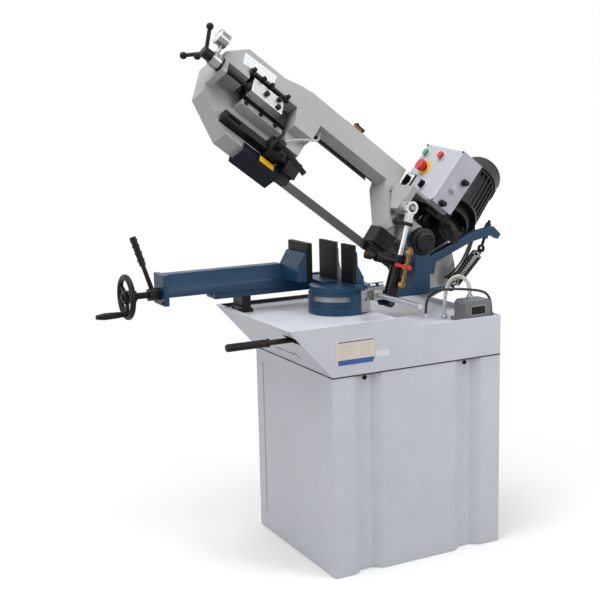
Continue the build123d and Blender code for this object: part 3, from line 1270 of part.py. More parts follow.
def saw_blade():
    """Endless band: round both wheels, flat over the top and twisted upright between the guides."""
    half = BLADE_THICKNESS / 2
    outer, inner = WHEEL_DIAMETER / 2 + half, WHEEL_DIAMETER / 2 - half
    wide = (-BLADE_WIDTH / 2, BLADE_WIDTH / 2)
    upright = math.pi / 2 - LEAN
    band = span((DRIVE_U, IDLER_U), (-WHEEL_DIAMETER - half, -WHEEL_DIAMETER + half), wide)
    runs = ((IDLER_U, 1, FLAT_FRONT_U, TWIST_FRONT_U), (DRIVE_U, -1, FLAT_REAR_U, TWIST_REAR_U))
    for u, side, flat_u, twist_u in runs:
        ring = disc(u, WHEEL_Y, outer, *wide) - disc(u, WHEEL_Y, inner, *wide)
        band += ring & span((u, u + side * WHEEL_DIAMETER), (-2 * WHEEL_DIAMETER, WHEEL_DIAMETER), wide)
        band += span((u, flat_u), (-half, half), wide)
        shares = [k / TWIST_STEPS for k in range(TWIST_STEPS + 1)]
        steps = [blade_section(flat_u + (twist_u - flat_u) * share, upright * share) for share in shares]
        band += loft(steps, ruled=True)
    band += loft([blade_section(TWIST_FRONT_U, upright), blade_section(TWIST_REAR_U, upright)], ruled=True)
    return BOW * band


def guide_cheeks(front_u, rear_u, reach):
    """Pair of pads either side of the blade."""
    low = span((front_u, rear_u), (-reach, -GUIDE_SLIT), GUIDE_CHEEK_Z)
    return low + span((front_u, rear_u), (GUIDE_SLIT, reach), GUIDE_CHEEK_Z)


def rear_guide():
    """Black guide head under the leg, slit for the blade."""
    u0, u1 = REAR_GUIDE_U
    block = span(REAR_GUIDE_U, REAR_GUIDE_Y, (GUIDE_CHEEK_Z[1], REAR_GUIDE_TOP_Z))
    cheeks = guide_cheeks(u0 + REAR_CHEEK_INSET[0], u1 - REAR_CHEEK_INSET[1], REAR_CHEEK)
    leg = slab(leg_outline(LEG_REAR_U), PAN_NEAR_Z, ARM_NEAR_Z)
    foot = span((0, LEG_REAR_U + LEG_FOOT_LAP), (LEG_FOOT_TOP_Y, -40), (PAN_NEAR_Z - PAN_PLATE, PAN_NEAR_Z))
    return LIFT * (block + cheeks) - BOW * (leg + foot)


def front_guide_arm():
    """Bar that slides in the clamp along the front pan."""
    bar = span(GUIDE_BAR_U, GUIDE_BAR_Y, (PAN_NEAR_Z + SLIDING_FIT, GUIDE_BAR_TOP_Z))
    end, wall = GUIDE_BAR_U[1], GUIDE_BAR_POCKET_WALL
    pocket = [end - inset for inset in GUIDE_BAR_POCKET]
    across = (GUIDE_BAR_Y[0] + wall, GUIDE_BAR_Y[1] - wall)
    return BOW * (bar - span(pocket, across, (GUIDE_BAR_TOP_Z - GUIDE_BAR_POCKET_DEPTH, GUIDE_BAR_TOP_Z)))


def front_guide_block():
    """Guide head on the end of the bar, slit for the blade."""
    u0, u1 = GUIDE_BLOCK_U, GUIDE_BAR_U[0]
    block = profile_x(GUIDE_HEAD_OUTLINE, u0, u1)
    return LIFT * (block + guide_cheeks(u0 + CHEEK_INSET, u1 - CHEEK_INSET, FRONT_CHEEK))


def blade_guard():
    """Folded guard under the blade ahead of the guide head."""
    low, far, near, t = GUARD_LOW_Y, GUARD_FAR_Z, GUARD_NEAR_Z, GUARD_SHEET
    near_y, far_y = low - GUARD_NEAR_SIDE, low - GUARD_FAR_SIDE
    outside = [(near_y, near), (low, near), (low, far), (far_y, far)]
    inside = [(near_y, near - t), (low - t, near - t), (low - t, far + t), (far_y, far + t)]
    channel = profile_x(outside + [(far_y, far + t)] + inside[2:0:-1] + [(near_y, near - t)], *GUARD_U)
    end = profile_x(outside, GUARD_U[0], GUARD_U[0] + t)
    slit = (-GUARD_SLIT, GUARD_SLIT)
    end -= span((GUARD_U[0], GUARD_U[0] + t), slit, slit)
    return BOW * (channel + end)


def guide_clamp():
    """Bridge over the guide bar that holds it to the pan."""
    low, high = GUIDE_BAR_Y
    block = span(CLAMP_BLOCK_U, (low - CLAMP_CHEEKS[0], high + CLAMP_CHEEKS[1]),
                 (PAN_NEAR_Z, GUIDE_BAR_TOP_Z + CLAMP_ROOF))
    way = span(CLAMP_BLOCK_U, (low - SLIDING_FIT, high + SLIDING_FIT),
               (PAN_NEAR_Z, GUIDE_BAR_TOP_Z + SLIDING_FIT))
    return BOW * (block - way)


def clamp_lever_place():
    return (sum(CLAMP_BLOCK_U) / 2, sum(GUIDE_BAR_Y) / 2, GUIDE_BAR_TOP_Z + CLAMP_ROOF)


def guide_clamp_lever():
    """Ratchet lever on the guide clamp."""
    u, y, z = clamp_lever_place()
    radius, height = CLAMP_HUB
    hub = disc(u, y, radius, z + SLIDING_FIT, z + height)
    tip, grip = [(u + du, y + dy, z + dz) for du, dy, dz in (CLAMP_TIP, CLAMP_GRIP)]
    return BOW * (hub + rod((u, y, z + CLAMP_STEM_Z), tip, 6) + rod(grip, tip, 8.5))


def tension_slide():
    """Sliding block on its ways with the idler's shaft."""
    base = span(SLIDE_U, (SLIDE_Y[0] + SLIDING_FIT, SLIDE_Y[1] - SLIDING_FIT), SLIDE_Z)
    shaft = disc(IDLER_U, WHEEL_Y, IDLER_SHAFT_RADIUS, -WHEEL_WIDTH / 2 - 4, SLIDE_Z[0])
    collar = disc(IDLER_U, WHEEL_Y, IDLER_COLLAR_RADIUS, WHEEL_WIDTH / 2 + SLIDING_FIT, SLIDE_Z[0])
    return BOW * (base + shaft + collar)


def along_spindle(u, radius, start_u):
    """Round bar about the spindle's axis between two places along the bow."""
    return rod((start_u, SPINDLE_Y, SPINDLE_Z), (u, SPINDLE_Y, SPINDLE_Z), radius)


def tension_block():
    """Aluminium clamp block on the slide, bored for the spindle."""
    top, low = TENSION_BLOCK_INSET
    across = (SLIDE_Y[0] + top, SLIDE_Y[1] - low)
    block = span((TENSION_BLOCK_U, SLIDE_U[1]), across, (SLIDE_Z[1], TENSION_BLOCK_TOP_Z))
    block -= along_spindle(SLIDE_U[1], SPINDLE_RADIUS + SLIDING_FIT, SPINDLE_SOCKET_U)
    radius, height = TENSION_SCREW
    for u, y in TENSION_SCREWS:
        block += disc(u, y, radius, TENSION_BLOCK_TOP_Z, TENSION_BLOCK_TOP_Z + height)
    return BOW * block


def tension_handle():
    """Spindle with a three armed star handle and ball ends."""
    hub_from, hub_to = [HANDLE_U + offset for offset in HANDLE_HUB]
    handle = along_spindle(HANDLE_U, SPINDLE_RADIUS, SPINDLE_TIP_U)
    handle += along_spindle(hub_to, HANDLE_HUB_RADIUS, hub_from)
    cone = math.radians(HANDLE_CONE)
    out, flat = HANDLE_REACH * math.sin(cone), HANDLE_REACH * math.cos(cone)
    for turn in HANDLE_TURNS:
        angle = math.radians(turn)
        tip = (HANDLE_U + out, SPINDLE_Y + flat * math.sin(angle), SPINDLE_Z + flat * math.cos(angle))
        handle += rod((HANDLE_U - 6, SPINDLE_Y, SPINDLE_Z), tip, HANDLE_ARM_RADIUS)
        handle += Pos(*tip) * Sphere(HANDLE_BALL_RADIUS)
    return BOW * handle


def tension_gauge():
    """Spring nut barrel on the tension box, and the dial gauge beside it."""
    nut = along_spindle(HANDLE_U - GAUGE_END, GAUGE_RADIUS, BOX_FRONT_U - GAUGE_SEAT)
    nut -= along_spindle(HANDLE_U, SPINDLE_RADIUS + RUNNING_FIT, SPINDLE_BORE_U)
    dy, dz = DIAL_PLACE
    dial = rod(*[(u, SPINDLE_Y + dy, SPINDLE_Z + dz) for u in DIAL_U], DIAL_RADIUS)
    stem = rod(*[(DIAL_STEM_U, SPINDLE_Y + y, SPINDLE_Z + z) for y, z in DIAL_STEM_ENDS], DIAL_STEM_RADIUS)
    return BOW * (nut + dial + stem)


def gearbox():
    """Worm gear housing with a stepped round cover on its near face."""
    u0, u1 = GEARBOX_U
    y0, y1 = GEARBOX_Y
    cut = GEARBOX_CORNER
    outline = [(u0 + cut, y0), (u1 - cut, y0), (u1, y0 + cut), (u1, y1 - cut), (u1 - cut, y1),
               (u0 + GEARBOX_HEEL[0], y1), (u0, y1 - GEARBOX_HEEL[1]), (u0, y0 + cut)]
    block = slab(outline, PAN_NEAR_Z, GEARBOX_TOP_Z)
    for radius, rise in GEAR_COVER_STEPS:
        block += disc(DRIVE_U, GEAR_COVER_Y, radius, GEARBOX_TOP_Z, GEARBOX_TOP_Z + rise)
    bore = DRIVE_SHAFT_RADIUS + RUNNING_FIT
    block -= disc(DRIVE_U, WHEEL_Y, bore, PAN_NEAR_Z, PAN_NEAR_Z + DRIVE_SHAFT_PROUD + 2)
    radius, length = MOTOR_FLANGE
    flange = motor_frame() * disc(0, 0, radius, MOTOR_START - length, MOTOR_START)
    return BOW * (block + flange)


def motor_frame():
    """Frame at the drive shaft whose z runs up the motor."""
    turn = math.radians(MOTOR_TURN)
    centre = (DRIVE_U - MOTOR_OFFSET_U, WHEEL_Y, MOTOR_Z)
    return Plane(origin=centre, x_dir=(0, 0, 1), z_dir=(-math.sin(turn), -math.cos(turn), 0))


def motor_body():
    """Finned motor between its end shields, with its cable glands."""
    start, end, shield = MOTOR_START, MOTOR_START + MOTOR_LENGTH, MOTOR_SHIELD
    crest = MOTOR_RADIUS + FIN_HEIGHT
    body = disc(0, 0, MOTOR_RADIUS, start, end)
    body += disc(0, 0, crest, start, start + shield) + disc(0, 0, crest, end - shield, end)
    fin = span((MOTOR_RADIUS - FIN_ROOT, crest), (-FIN_HALF, FIN_HALF), (start + shield, end - shield))
    for turn in range(FIN_COUNT):
        body += Rot(0, 0, 360 / FIN_COUNT * turn) * fin
    x, y = GLAND_WAY
    root = MOTOR_RADIUS - GLAND_ROOT
    for along in MOTOR_GLANDS:
        body += rod((x * root, y * root, along), (x * GLAND_REACH, y * GLAND_REACH, along), GLAND_RADIUS)
    return BOW * motor_frame() * body


def fan_slots():
    """Ring slots of the fan hood's end, parted by three spokes."""
    inner, outer = FAN_RING
    half = FAN_SLOT_HALF
    spoke = span((0, FAN_COVER_RADIUS), (-FAN_SPOKE_HALF, FAN_SPOKE_HALF), (-half, half))
    slots = []
    for ring in range(FAN_RINGS):
        shift = FAN_RING_PITCH * ring
        slot = Cylinder(outer + shift, 2 * half) - Cylinder(inner + shift, 2 * half)
        for turn in range(3):
            slot -= Rot(0, 0, 120 * turn) * spoke
        slots.append(slot)
    return slots


def motor_fan_cover():
    """Pressed hood over the fan, slotted at its end."""
    low = MOTOR_START + MOTOR_LENGTH
    hood = Pos(0, 0, low) * Cylinder(FAN_COVER_RADIUS, FAN_COVER_LENGTH, align=LOW)
    hood = fillet(hood.edges().sort_by(Axis.Z)[-1], FAN_COVER_ROUND)
    room = Pos(0, 0, low) * Cylinder(FAN_COVER_RADIUS - SHEET, FAN_COVER_LENGTH - SHEET, align=LOW)
    hood -= fillet(room.edges().sort_by(Axis.Z)[-1], FAN_COVER_ROUND - SHEET)
    for slot in fan_slots():
        hood -= Pos(0, 0, low + FAN_COVER_LENGTH - 2) * slot
    web = disc(0, 0, FAN_COVER_RADIUS - 1, low, low + SHEET) - disc(0, 0, FAN_WEB_BORE, low, low + SHEET)
    return BOW * motor_frame() * (hood + web)


def control_box_room():
    half, tall = BOX_WIDTH / 2, BOX_TALL / 2
    return control_frame() * span((-half, half), (-tall, tall), (-BOX_DEPTH, 0))


def control_box():
    """Switch box, open to its lid, with a cable gland on its side."""
    half, tall, wall = BOX_WIDTH / 2, BOX_TALL / 2, BOX_WALL
    box = span((-half, half), (-tall, tall), (-BOX_DEPTH, -LID))
    box -= span((wall - half, half - wall), (wall - tall, tall - wall), (wall - BOX_DEPTH, -LID))
    up, reach, radius = BOX_GLAND
    gland = rod_x(half - 1, half + reach, up - tall, -BOX_DEPTH / 2, radius)
    return control_frame() * (box + gland)


def button_places():
    """Across, up and stem radius of every control on the lid."""
    left, right = BUTTON_COLUMNS
    top, foot = BUTTON_ROWS
    places = {"start_button": (left, top), "stop_button": (right, top), "main_switch": (left, foot),
              "speed_selector": (right, foot)}
    stems = {name: (*place, STEM_RADIUS) for name, place in places.items()}
    return {**stems, "estop_button": (*ESTOP_PLACE, ESTOP_STEM_RADIUS)}


def control_lid():
    """Lid plate with holes for its controls."""
    half, tall = BOX_WIDTH / 2, BOX_TALL / 2
    lid = span((-half, half), (-tall, tall), (-LID, 0))
    for across, up, radius in button_places().values():
        lid -= disc(across, up, radius + RUNNING_FIT, -LID, 0)
    return control_frame() * lid


def control(name, size):
    """Stem through the lid and a round head in front of it."""
    across, up, radius = button_places()[name]
    gap, head_radius, height = size
    stem = disc(across, up, radius, -LID - STEM_BEHIND, gap)
    return stem + disc(across, up, head_radius, gap, gap + height)


def handle_bar(name, size, bar):
    """Bar across the face of a switch's head."""
    across, up, _ = button_places()[name]
    length, width, rise = bar
    return Pos(across, up, size[0] + size[2]) * Box(width, length, rise, align=LOW)


def start_button():
    return control_frame() * control("start_button", START_HEAD)


def stop_button():
    return control_frame() * control("stop_button", STOP_HEAD)


def estop_button():
    return control_frame() * control("estop_button", ESTOP_HEAD)


def main_switch():
    bar = handle_bar("main_switch", SWITCH_HEAD, SWITCH_BAR)
    return control_frame() * (control("main_switch", SWITCH_HEAD) + bar)


def speed_selector():
    bar = handle_bar("speed_selector", SELECTOR_HEAD, SELECTOR_BAR)
    return control_frame() * (control("speed_selector", SELECTOR_HEAD) + bar)


def eyebolt_way():
    """Direction up the eyebolt from the eye, and its length."""
    x, y, z = SPRING_TOP
    line = Vector(x, *EYEBOLT_TIP) - Vector(x, y, z)
    return line.normalized(), line.length


def along_eyebolt(distance):
    return tuple(Vector(*SPRING_TOP) + eyebolt_way()[0] * distance)


def spring_arm():
    """Cranked lever behind the pivot, bored at its tip for the eyebolt."""
    bar = profile_x(SPRING_ARM_OUTLINE, SPRING_ARM_LEFT_X, SPRING_ARM_LEFT_X + SPRING_ARM_THICK)
    low, high, radius = EYEBOLT_BOSS
    bar += rod(along_eyebolt(low), along_eyebolt(high), radius)
    return bar - rod(along_eyebolt(0), along_eyebolt(high + 9), EYEBOLT_RADIUS + RUNNING_FIT)


def spring_eyebolt():
    """Adjusting bolt through the arm's tip, with its nut and the eye that takes the spring's hook."""
    way, length = eyebolt_way()
    bolt = rod(along_eyebolt(EYE_RADIUS - 3), along_eyebolt(length), EYEBOLT_RADIUS)
    seat = Plane(origin=along_eyebolt(EYEBOLT_BOSS[1]), z_dir=way)
    nut = extrude(RegularPolygon(EYEBOLT_BOSS[2] - 1, 6), amount=EYEBOLT_NUT)
    return bolt + seat * nut + spring_eye(SPRING_TOP)


def arm_tap():
    """Brass coolant tap and its elbow on top of the arm."""
    y, z = ARM_TOP_Y, TAP_Z
    pipe = rod(*[(u, y - TAP_RISE, z) for u in TAP_U], TAP_PIPE_RADIUS)
    body = span(TAP_BODY_U, (y - TAP_BODY_RISE, y), TAP_BODY_Z)
    low, high, radius = TAP_STEM
    stem = rod((TAP_STEM_U, y - low, z), (TAP_STEM_U, y - high, z), radius)
    elbow = rod((TAP_ELBOW_U, y - TAP_RISE, z), (TAP_ELBOW_U, y, z), TAP_ELBOW_RADIUS)
    return BOW * (pipe + body + stem + elbow)


def tap_handle():
    """Black wing on the coolant tap."""
    top = ARM_TOP_Y - TAP_STEM[1] - SLIDING_FIT
    radius, height = TAP_HUB
    hub = rod((TAP_STEM_U, top, TAP_Z), (TAP_STEM_U, top - height, TAP_Z), radius)
    near, far = TAP_WING
    return BOW * (hub + span((TAP_U[0], TAP_STEM_U), (top - far, top - near), TAP_WING_Z))


def pump_hose():
    """Clear hose from the pump's outlet, looped over and down to its union on the tray."""
    x, y = PUMP_OUTLET
    down_x, down_y = HOSE_UNION
    low, high = TRAY_REAR_FLOOR_Z + UNION_HEIGHT, TRAY_REAR_FLOOR_Z + PUMP_HEIGHT + PUMP_STUB
    up, down = PUMP_HOSE_ENDS
    points = [(x, y, high), (x, y, up), *PUMP_HOSE_ROUTE, (down_x, down_y, down), (down_x, down_y, low)]
    return hose(points, HOSE_RADIUS, "pump_hose")


def pump_cable():
    """Cable from its gland on the tray, over the pump and down to the gland behind its hood."""
    x, y = CABLE_UNION
    down_x, down_y = PUMP_GLAND
    start, end = TRAY_REAR_FLOOR_Z + UNION_HEIGHT, TRAY_REAR_FLOOR_Z + PUMP_FLANGE + PUMP_STUB
    up, down = PUMP_CABLE_ENDS
    points = [(x, y, start), (x, y, up), *PUMP_CABLE_ROUTE, (down_x, down_y, down), (down_x, down_y, end)]
    return hose(points, CABLE_RADIUS, "pump_cable")


def gland_place(along, reach):
    """Point on the bow that stands out from the motor's axis in the glands' direction."""
    x, y = GLAND_WAY
    return tuple(motor_frame().from_local_coords((x * reach, y * reach, along)))


def motor_cables():
    """Pair of cables that hang from the motor's glands behind the spring arm, down to the rear wheel pan."""
    cables = []
    for along, route in zip(MOTOR_GLANDS, MOTOR_CABLE_ROUTES):
        ends = [gland_place(along, GLAND_REACH + out) for out in (0, GLAND_RUN)]
        cables.append(hose([*ends, *route], CABLE_RADIUS, "motor_cable"))
    return BOW * Compound(children=cables)


def guide_hose():
    """Thin coolant hose from under the arm to the top of the guide clamp."""
    u, y, _ = GUIDE_HOSE_ROUTE[-1]
    points = [GUIDE_HOSE_START, *GUIDE_HOSE_ROUTE, (u, y, GUIDE_BAR_TOP_Z + CLAMP_ROOF)]
    return BOW * hose(points, THIN_HOSE_RADIUS, "guide_hose")


SUB_PARTS = (stand_cabinet, front_panel, chip_tray, base_pedestal, vise_bed, vise_support, fixed_jaw_plates,
             fixed_jaw_blocks, moving_jaw_plate, vise_slide_body, vise_screw, vise_handwheel,
             handwheel_grip, quick_clamp_lever, stop_rod, length_stop, lock_lever, coolant_pump,
             coolant_tank, swivel_arm, pivot_shaft, damper_cylinder, damper_rod, counter_spring,
             bow_casting, wheel_covers, idler_wheel, drive_wheel, saw_blade, rear_guide, front_guide_arm,
             front_guide_block, blade_guard, guide_clamp, guide_clamp_lever, tension_slide, tension_block,
             tension_handle, tension_gauge, gearbox, motor_body, motor_fan_cover, control_box, control_lid,
             start_button, stop_button, estop_button, main_switch, speed_selector, spring_arm,
             spring_eyebolt, feed_knob, damper_valve, valve_handle, arm_tap, tap_handle, pump_hose,
             pump_cable, guide_hose, motor_cables)


def main():
    os.makedirs("parts", exist_ok=True)
    for build in SUB_PARTS:
        export_step(build(), f"parts/{build.__name__}.step")


if __name__ == "__main__":
    main()
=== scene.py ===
"""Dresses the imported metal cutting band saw: rounded castings, fittings, hoses, spring, finishes and a studio stage."""
import json
import math
from itertools import product

import bmesh
import bpy
from bpy.props import FloatProperty, FloatVectorProperty, IntProperty, PointerProperty
from bpy.types import Operator, Panel, PropertyGroup
from mathutils import Matrix, Vector


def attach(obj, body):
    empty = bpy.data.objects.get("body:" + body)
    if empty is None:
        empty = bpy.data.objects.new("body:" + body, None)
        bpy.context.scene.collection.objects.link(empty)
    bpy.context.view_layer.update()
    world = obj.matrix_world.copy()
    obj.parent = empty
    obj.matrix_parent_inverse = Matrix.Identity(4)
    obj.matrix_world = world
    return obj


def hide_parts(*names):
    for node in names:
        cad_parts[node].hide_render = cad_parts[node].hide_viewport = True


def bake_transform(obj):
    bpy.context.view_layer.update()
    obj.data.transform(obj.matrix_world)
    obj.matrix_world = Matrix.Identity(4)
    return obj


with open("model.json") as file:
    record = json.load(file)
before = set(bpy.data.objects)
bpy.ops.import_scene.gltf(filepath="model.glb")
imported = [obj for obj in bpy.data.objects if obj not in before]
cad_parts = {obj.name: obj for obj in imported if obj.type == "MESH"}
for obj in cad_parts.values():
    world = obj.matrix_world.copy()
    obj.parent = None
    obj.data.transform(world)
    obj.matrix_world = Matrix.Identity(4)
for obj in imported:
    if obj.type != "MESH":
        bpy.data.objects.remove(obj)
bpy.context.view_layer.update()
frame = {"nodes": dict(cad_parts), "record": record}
NODES = frame["nodes"]
RECORD = frame["record"]
BODIES = {node: body for body, nodes in RECORD["behaviour"]["bodies"].items() for node in nodes}

bl_info = {
    "name": "Metal Cutting Band Saw",
    "version": (1, 0, 0),
    "blender": (4, 5, 0),
    "location": "View3D > Sidebar > Band Saw",
    "description": "Dresses the packed band saw with rounded castings, fittings, hoses and finishes",
    "category": "Object",
}

MM = 0.001
FULL_TURN = 2 * math.pi


# Frames in millimetres that the pieces are drawn in


def axes(along, out):
    """Rotation that lays x along one direction and z out in another."""
    x_axis, z_axis = Vector(along).normalized(), Vector(out).normalized()
    return Matrix((x_axis, z_axis.cross(x_axis), z_axis)).transposed().to_4x4()


def local_frame(origin, along, out):
    """Matrix from a local frame in millimetres, x along and z out, to the model in metres."""
    return Matrix.Translation(Vector(origin) * MM) @ axes(along, out) @ Matrix.Scale(MM, 4)


def at(x, y, z):
    return Matrix.Translation((x, y, z))


def spin(degrees, axis="Z"):
    return Matrix.Rotation(math.radians(degrees), 4, axis)


def turn_to(direction, origin=(0, 0, 0)):
    """Matrix that stands a shape's z axis along a direction at a point."""
    return Matrix.Translation(origin) @ Vector(direction).to_track_quat("Z", "Y").to_matrix().to_4x4()


LIFT_ANGLE, LEAN_ANGLE = math.radians(36.8), math.radians(40.0)
ALONG = Vector((0, -math.cos(LIFT_ANGLE), math.sin(LIFT_ANGLE)))
OVER = Vector((0, math.sin(LIFT_ANGLE), math.cos(LIFT_ANGLE)))
ACROSS, FRONT = Vector((1, 0, 0)), Vector((0, -1, 0))
FACE = ACROSS * math.cos(LEAN_ANGLE) + OVER * math.sin(LEAN_ANGLE)
PIVOT = Vector((0, 132, 968))
PIVOT_RISE = 104
BOW_ORIGIN = PIVOT - OVER * PIVOT_RISE
BOX_ROLL = math.radians(5.3)
BOX_CENTRE = BOW_ORIGIN + ALONG * 42 - ACROSS * 33 + OVER * 335
MOTOR_PLACE = Vector((-112, -160, 122))
MOTOR_TURN = math.radians(22.6)
MOTOR_WAY = Vector((-math.sin(MOTOR_TURN), -math.cos(MOTOR_TURN), 0))
DAMPER_FOOT, DAMPER_HEAD = Vector((104, -12, 792)), Vector((104, 74, 1080))
SPRING_FOOT, SPRING_TOP = Vector((48, 262, 804)), Vector((21, 402, 918))

WORLD = Matrix.Scale(MM, 4)
BOW = local_frame(BOW_ORIGIN, ALONG, FACE)
LIFT = local_frame(BOW_ORIGIN, ALONG, OVER)
CONTROL = local_frame(BOX_CENTRE, ACROSS * math.cos(BOX_ROLL) - OVER * math.sin(BOX_ROLL), ALONG)
DAMPER = local_frame(DAMPER_FOOT, ACROSS, DAMPER_HEAD - DAMPER_FOOT)
MOTOR = BOW @ at(*MOTOR_PLACE) @ axes((0, 0, 1), MOTOR_WAY)
SPRING_LINE = SPRING_TOP - SPRING_FOOT
SPRING = local_frame(SPRING_FOOT, SPRING_LINE.cross(ACROSS).cross(SPRING_LINE), SPRING_LINE)


# Colours and sizes that a user may change


def chip(code):
    """Linear colour from a paint chip's hex code."""
    values = [int(code[i:i + 2], 16) / 255 for i in (0, 2, 4)]
    return tuple(v / 12.92 if v <= 0.04045 else ((v + 0.055) / 1.055) ** 2.4 for v in values)


def colour(name, text, code):
    return FloatVectorProperty(name=name, description=text, subtype="COLOR", size=3, min=0, max=1, default=chip(code))


def length(name, text, millimetres):
    return FloatProperty(name=name, description=text, unit="LENGTH", min=0, default=millimetres * MM, precision=5)


def power(name, text, watts):
    return FloatProperty(name=name, description=text, subtype="POWER", min=0, default=watts)


class SawColours(PropertyGroup):
    """Colours of the machine's finishes."""
    sheet_grey: colour("Sheet grey", "Powder coat on the stand and the tray", "c9ccd4")
    cast_grey: colour("Cast grey", "Enamel on the bow", "a3a2a3")
    box_grey: colour("Box grey", "Enamel on the control box", "b3b4bd")
    machine_blue: colour("Machine blue", "Enamel on the vise, the base and the spring arm", "163955")
    guard_navy: colour("Guard navy", "Paint on the blade guard", "060c18")
    black: colour("Black", "Paint on the drive, the guides and the damper", "0b0b0c")
    black_plastic: colour("Black plastic", "Moulded grips and knobs", "0a0a0b")
    oxide: colour("Black oxide", "Hardened jaw plates", "242422")
    steel: colour("Steel", "Ground and turned steel", "b9bbbd")
    blade: colour("Blade", "Rolled blade steel", "4b4a49")
    iron: colour("Iron", "Turned band wheels", "77797b")
    aluminium: colour("Aluminium", "Milled clamp block and gauge", "dcdde0")
    brass: colour("Brass", "Stop cock and coolant tap", "7c623c")
    pump_grey: colour("Pump grey", "Moulded pump hood", "67696d")
    red: colour("Red", "Stop buttons and the cock's handle", "c3201b")
    green: colour("Green", "Start button", "2f9653")
    yellow: colour("Yellow", "Ring under the emergency button and the guard's plate", "dfab1a")
    plate_beige: colour("Plate beige", "Blank rating plate", "d9cdbf")
    plate_blue: colour("Plate blue", "Bar on the blank rating plate", "2a55a0")
    # The plates' white also paints the highlight along the control lid's bead
    plate_white_and_bead_highlight: colour("Plate white", "Blank plates", "dcdee1")
    hose_clear: colour("Clear hose", "Vinyl coolant hose", "dcdcd6")
    # The rubber black also paints the shadow strip under the tray's rim and the shade strips on its inner rims
    rubber: colour("Rubber", "Cable sheath and seals", "18191a")


class SawSizes(PropertyGroup):
    """Sizes of the dressing in metres."""
    cast_round: length("Casting round", "Rounding on the edges of the castings", 3.0)
    machined_round: length("Machined round", "Broken edges of machined and moulded pieces", 1.2)
    sheet_round: length("Sheet round", "Rounding of folded sheet", 1.0)
    spring_wire: length("Spring wire", "Radius of the counter spring's wire", 2.3)
    spring_coil: length("Spring coil", "Radius of the counter spring at its wire", 17.0)
    spring_turns: IntProperty(name="Spring turns", description="Turns of the counter spring", default=18, min=3)
    plate_sheet: length("Plate sheet", "Thickness of the blank plates", 0.8)


class SawStage(PropertyGroup):
    """Floor and light."""
    floor: length("Floor", "Half the side of the pale floor", 30000)
    fade_from: length("Fade from", "Distance at which the floor starts to fade to white", 550)
    fade_to: length("Fade to", "Distance at which the floor is white", 1500)
    key: power("Key light", "Light from the right", 44)
    top: power("Top light", "Broad light from above", 215)
    fill: power("Fill light", "Light from the front", 48)
    sky: FloatProperty(name="Sky", description="Strength of the even light around", default=0.45, min=0)


# Nodes, and the groups of them that several finishes share


class Nodes:
    """Node tree with short ways to add to it; inputs take a link or a plain value."""

    def __init__(self, tree):
        self.tree = tree

    def feed(self, socket, value):
        if isinstance(value, bpy.types.NodeSocket):
            self.tree.links.new(value, socket)
        else:
            socket.default_value = value

    def add(self, kind, inputs=None, **settings):
        """Outputs of a new shader node with its settings, and its inputs by label or index."""
        node = self.tree.nodes.new("ShaderNode" + kind)
        for name, value in settings.items():
            setattr(node, name, value)
        for label, value in (inputs or {}).items():
            self.feed(node.inputs[label], value)
        return node.outputs

    def math(self, operation, first, second, clamp=False):
        return self.add("Math", {0: first, 1: second}, operation=operation, use_clamp=clamp)[0]

    def scaled(self, mask, amount):
        return self.math("MULTIPLY", mask, amount, True)

    def ranged(self, value, low, high, to_low=0.0, to_high=1.0, smooth=False):
        limits = {"Value": value, "From Min": low, "From Max": high, "To Min": to_low, "To Max": to_high}
        return self.add("MapRange", limits, interpolation_type="SMOOTHSTEP" if smooth else "LINEAR")["Result"]

    def noise(self, vector, scale, detail, rough):
        return self.add("TexNoise", {"Vector": vector, "Scale": scale, "Detail": detail, "Roughness": rough})["Fac"]

    def mix(self, factor, first, second):
        return self.add("Mix", {0: factor, 6: first, 7: second}, data_type="RGBA")[2]

    def mix_shaders(self, factor, first, second):
        return self.add("MixShader", {0: factor, 1: first, 2: second})[0]

    def bump(self, height, distance):
        return self.add("Bump", {"Distance": distance, "Strength": 1.0, "Height": height})["Normal"]


class Group(Nodes):
    """Shared shader group under construction, with a vector and one setting."""

    def __init__(self, name, setting, default, results):
        super().__init__(bpy.data.node_groups.new(name, "ShaderNodeTree"))
        kind = "Float" if isinstance(default, float) else "Vector"
        sockets = [("Vector", "INPUT", "Vector"), (setting, "INPUT", kind)]
        for label, way, kind in sockets + [(label, "OUTPUT", "Float") for label in results]:
            socket = self.tree.interface.new_socket(label, in_out=way, socket_type="NodeSocket" + kind)
            if label == setting:
                socket.default_value = default
        given = self.tree.nodes.new("NodeGroupInput").outputs
        self.vector, self.setting = given["Vector"], given[setting]
        self.results = self.tree.nodes.new("NodeGroupOutput").inputs

    def made(self, **values):
        """Group with a link on each of its results."""
        for label, value in values.items():
            self.feed(self.results[label], value)
        return self.tree


def edge_wear_group():
    """Mask of edges that are rubbed bare, broken up by noise."""
    group = Group("Edge Wear", "Radius", 0.003, ("Mask",))
    rounded = group.add("Bevel", {"Radius": group.setting}, samples=4)["Normal"]
    flat = group.add("NewGeometry")["Normal"]
    agreement = group.add("VectorMath", {0: rounded, 1: flat}, operation="DOT_PRODUCT")["Value"]
    broken = group.ranged(group.noise(group.vector, 60.0, 4, 0.65), 0.42, 0.66)
    return group.made(Mask=group.scaled(group.ranged(agreement, 0.995, 0.86), broken))


def paint_skin_group():
    """Peel of a sprayed coat and the slow drift of its shade."""
    group = Group("Paint Skin", "Peel Scale", 420.0, ("Height", "Mottle"))
    drift = group.noise(group.vector, 9.0, 5, 0.6)
    return group.made(Height=group.noise(group.vector, group.setting, 2, 0.4),
                      Mottle=group.ranged(drift, 0.3, 0.7, smooth=True))


def settled_dust_group():
    """Mask of dust that settles on what faces up."""
    group = Group("Settled Dust", "Amount", 0.2, ("Mask",))
    up = group.add("SeparateXYZ", {0: group.add("NewGeometry")["Normal"]})["Z"]
    cloud = group.ranged(group.noise(group.vector, 14.0, 6, 0.62), 0.35, 0.75)
    dust = group.math("MULTIPLY", group.ranged(up, 0.55, 1.0, smooth=True), cloud)
    return group.made(Mask=group.scaled(dust, group.setting))


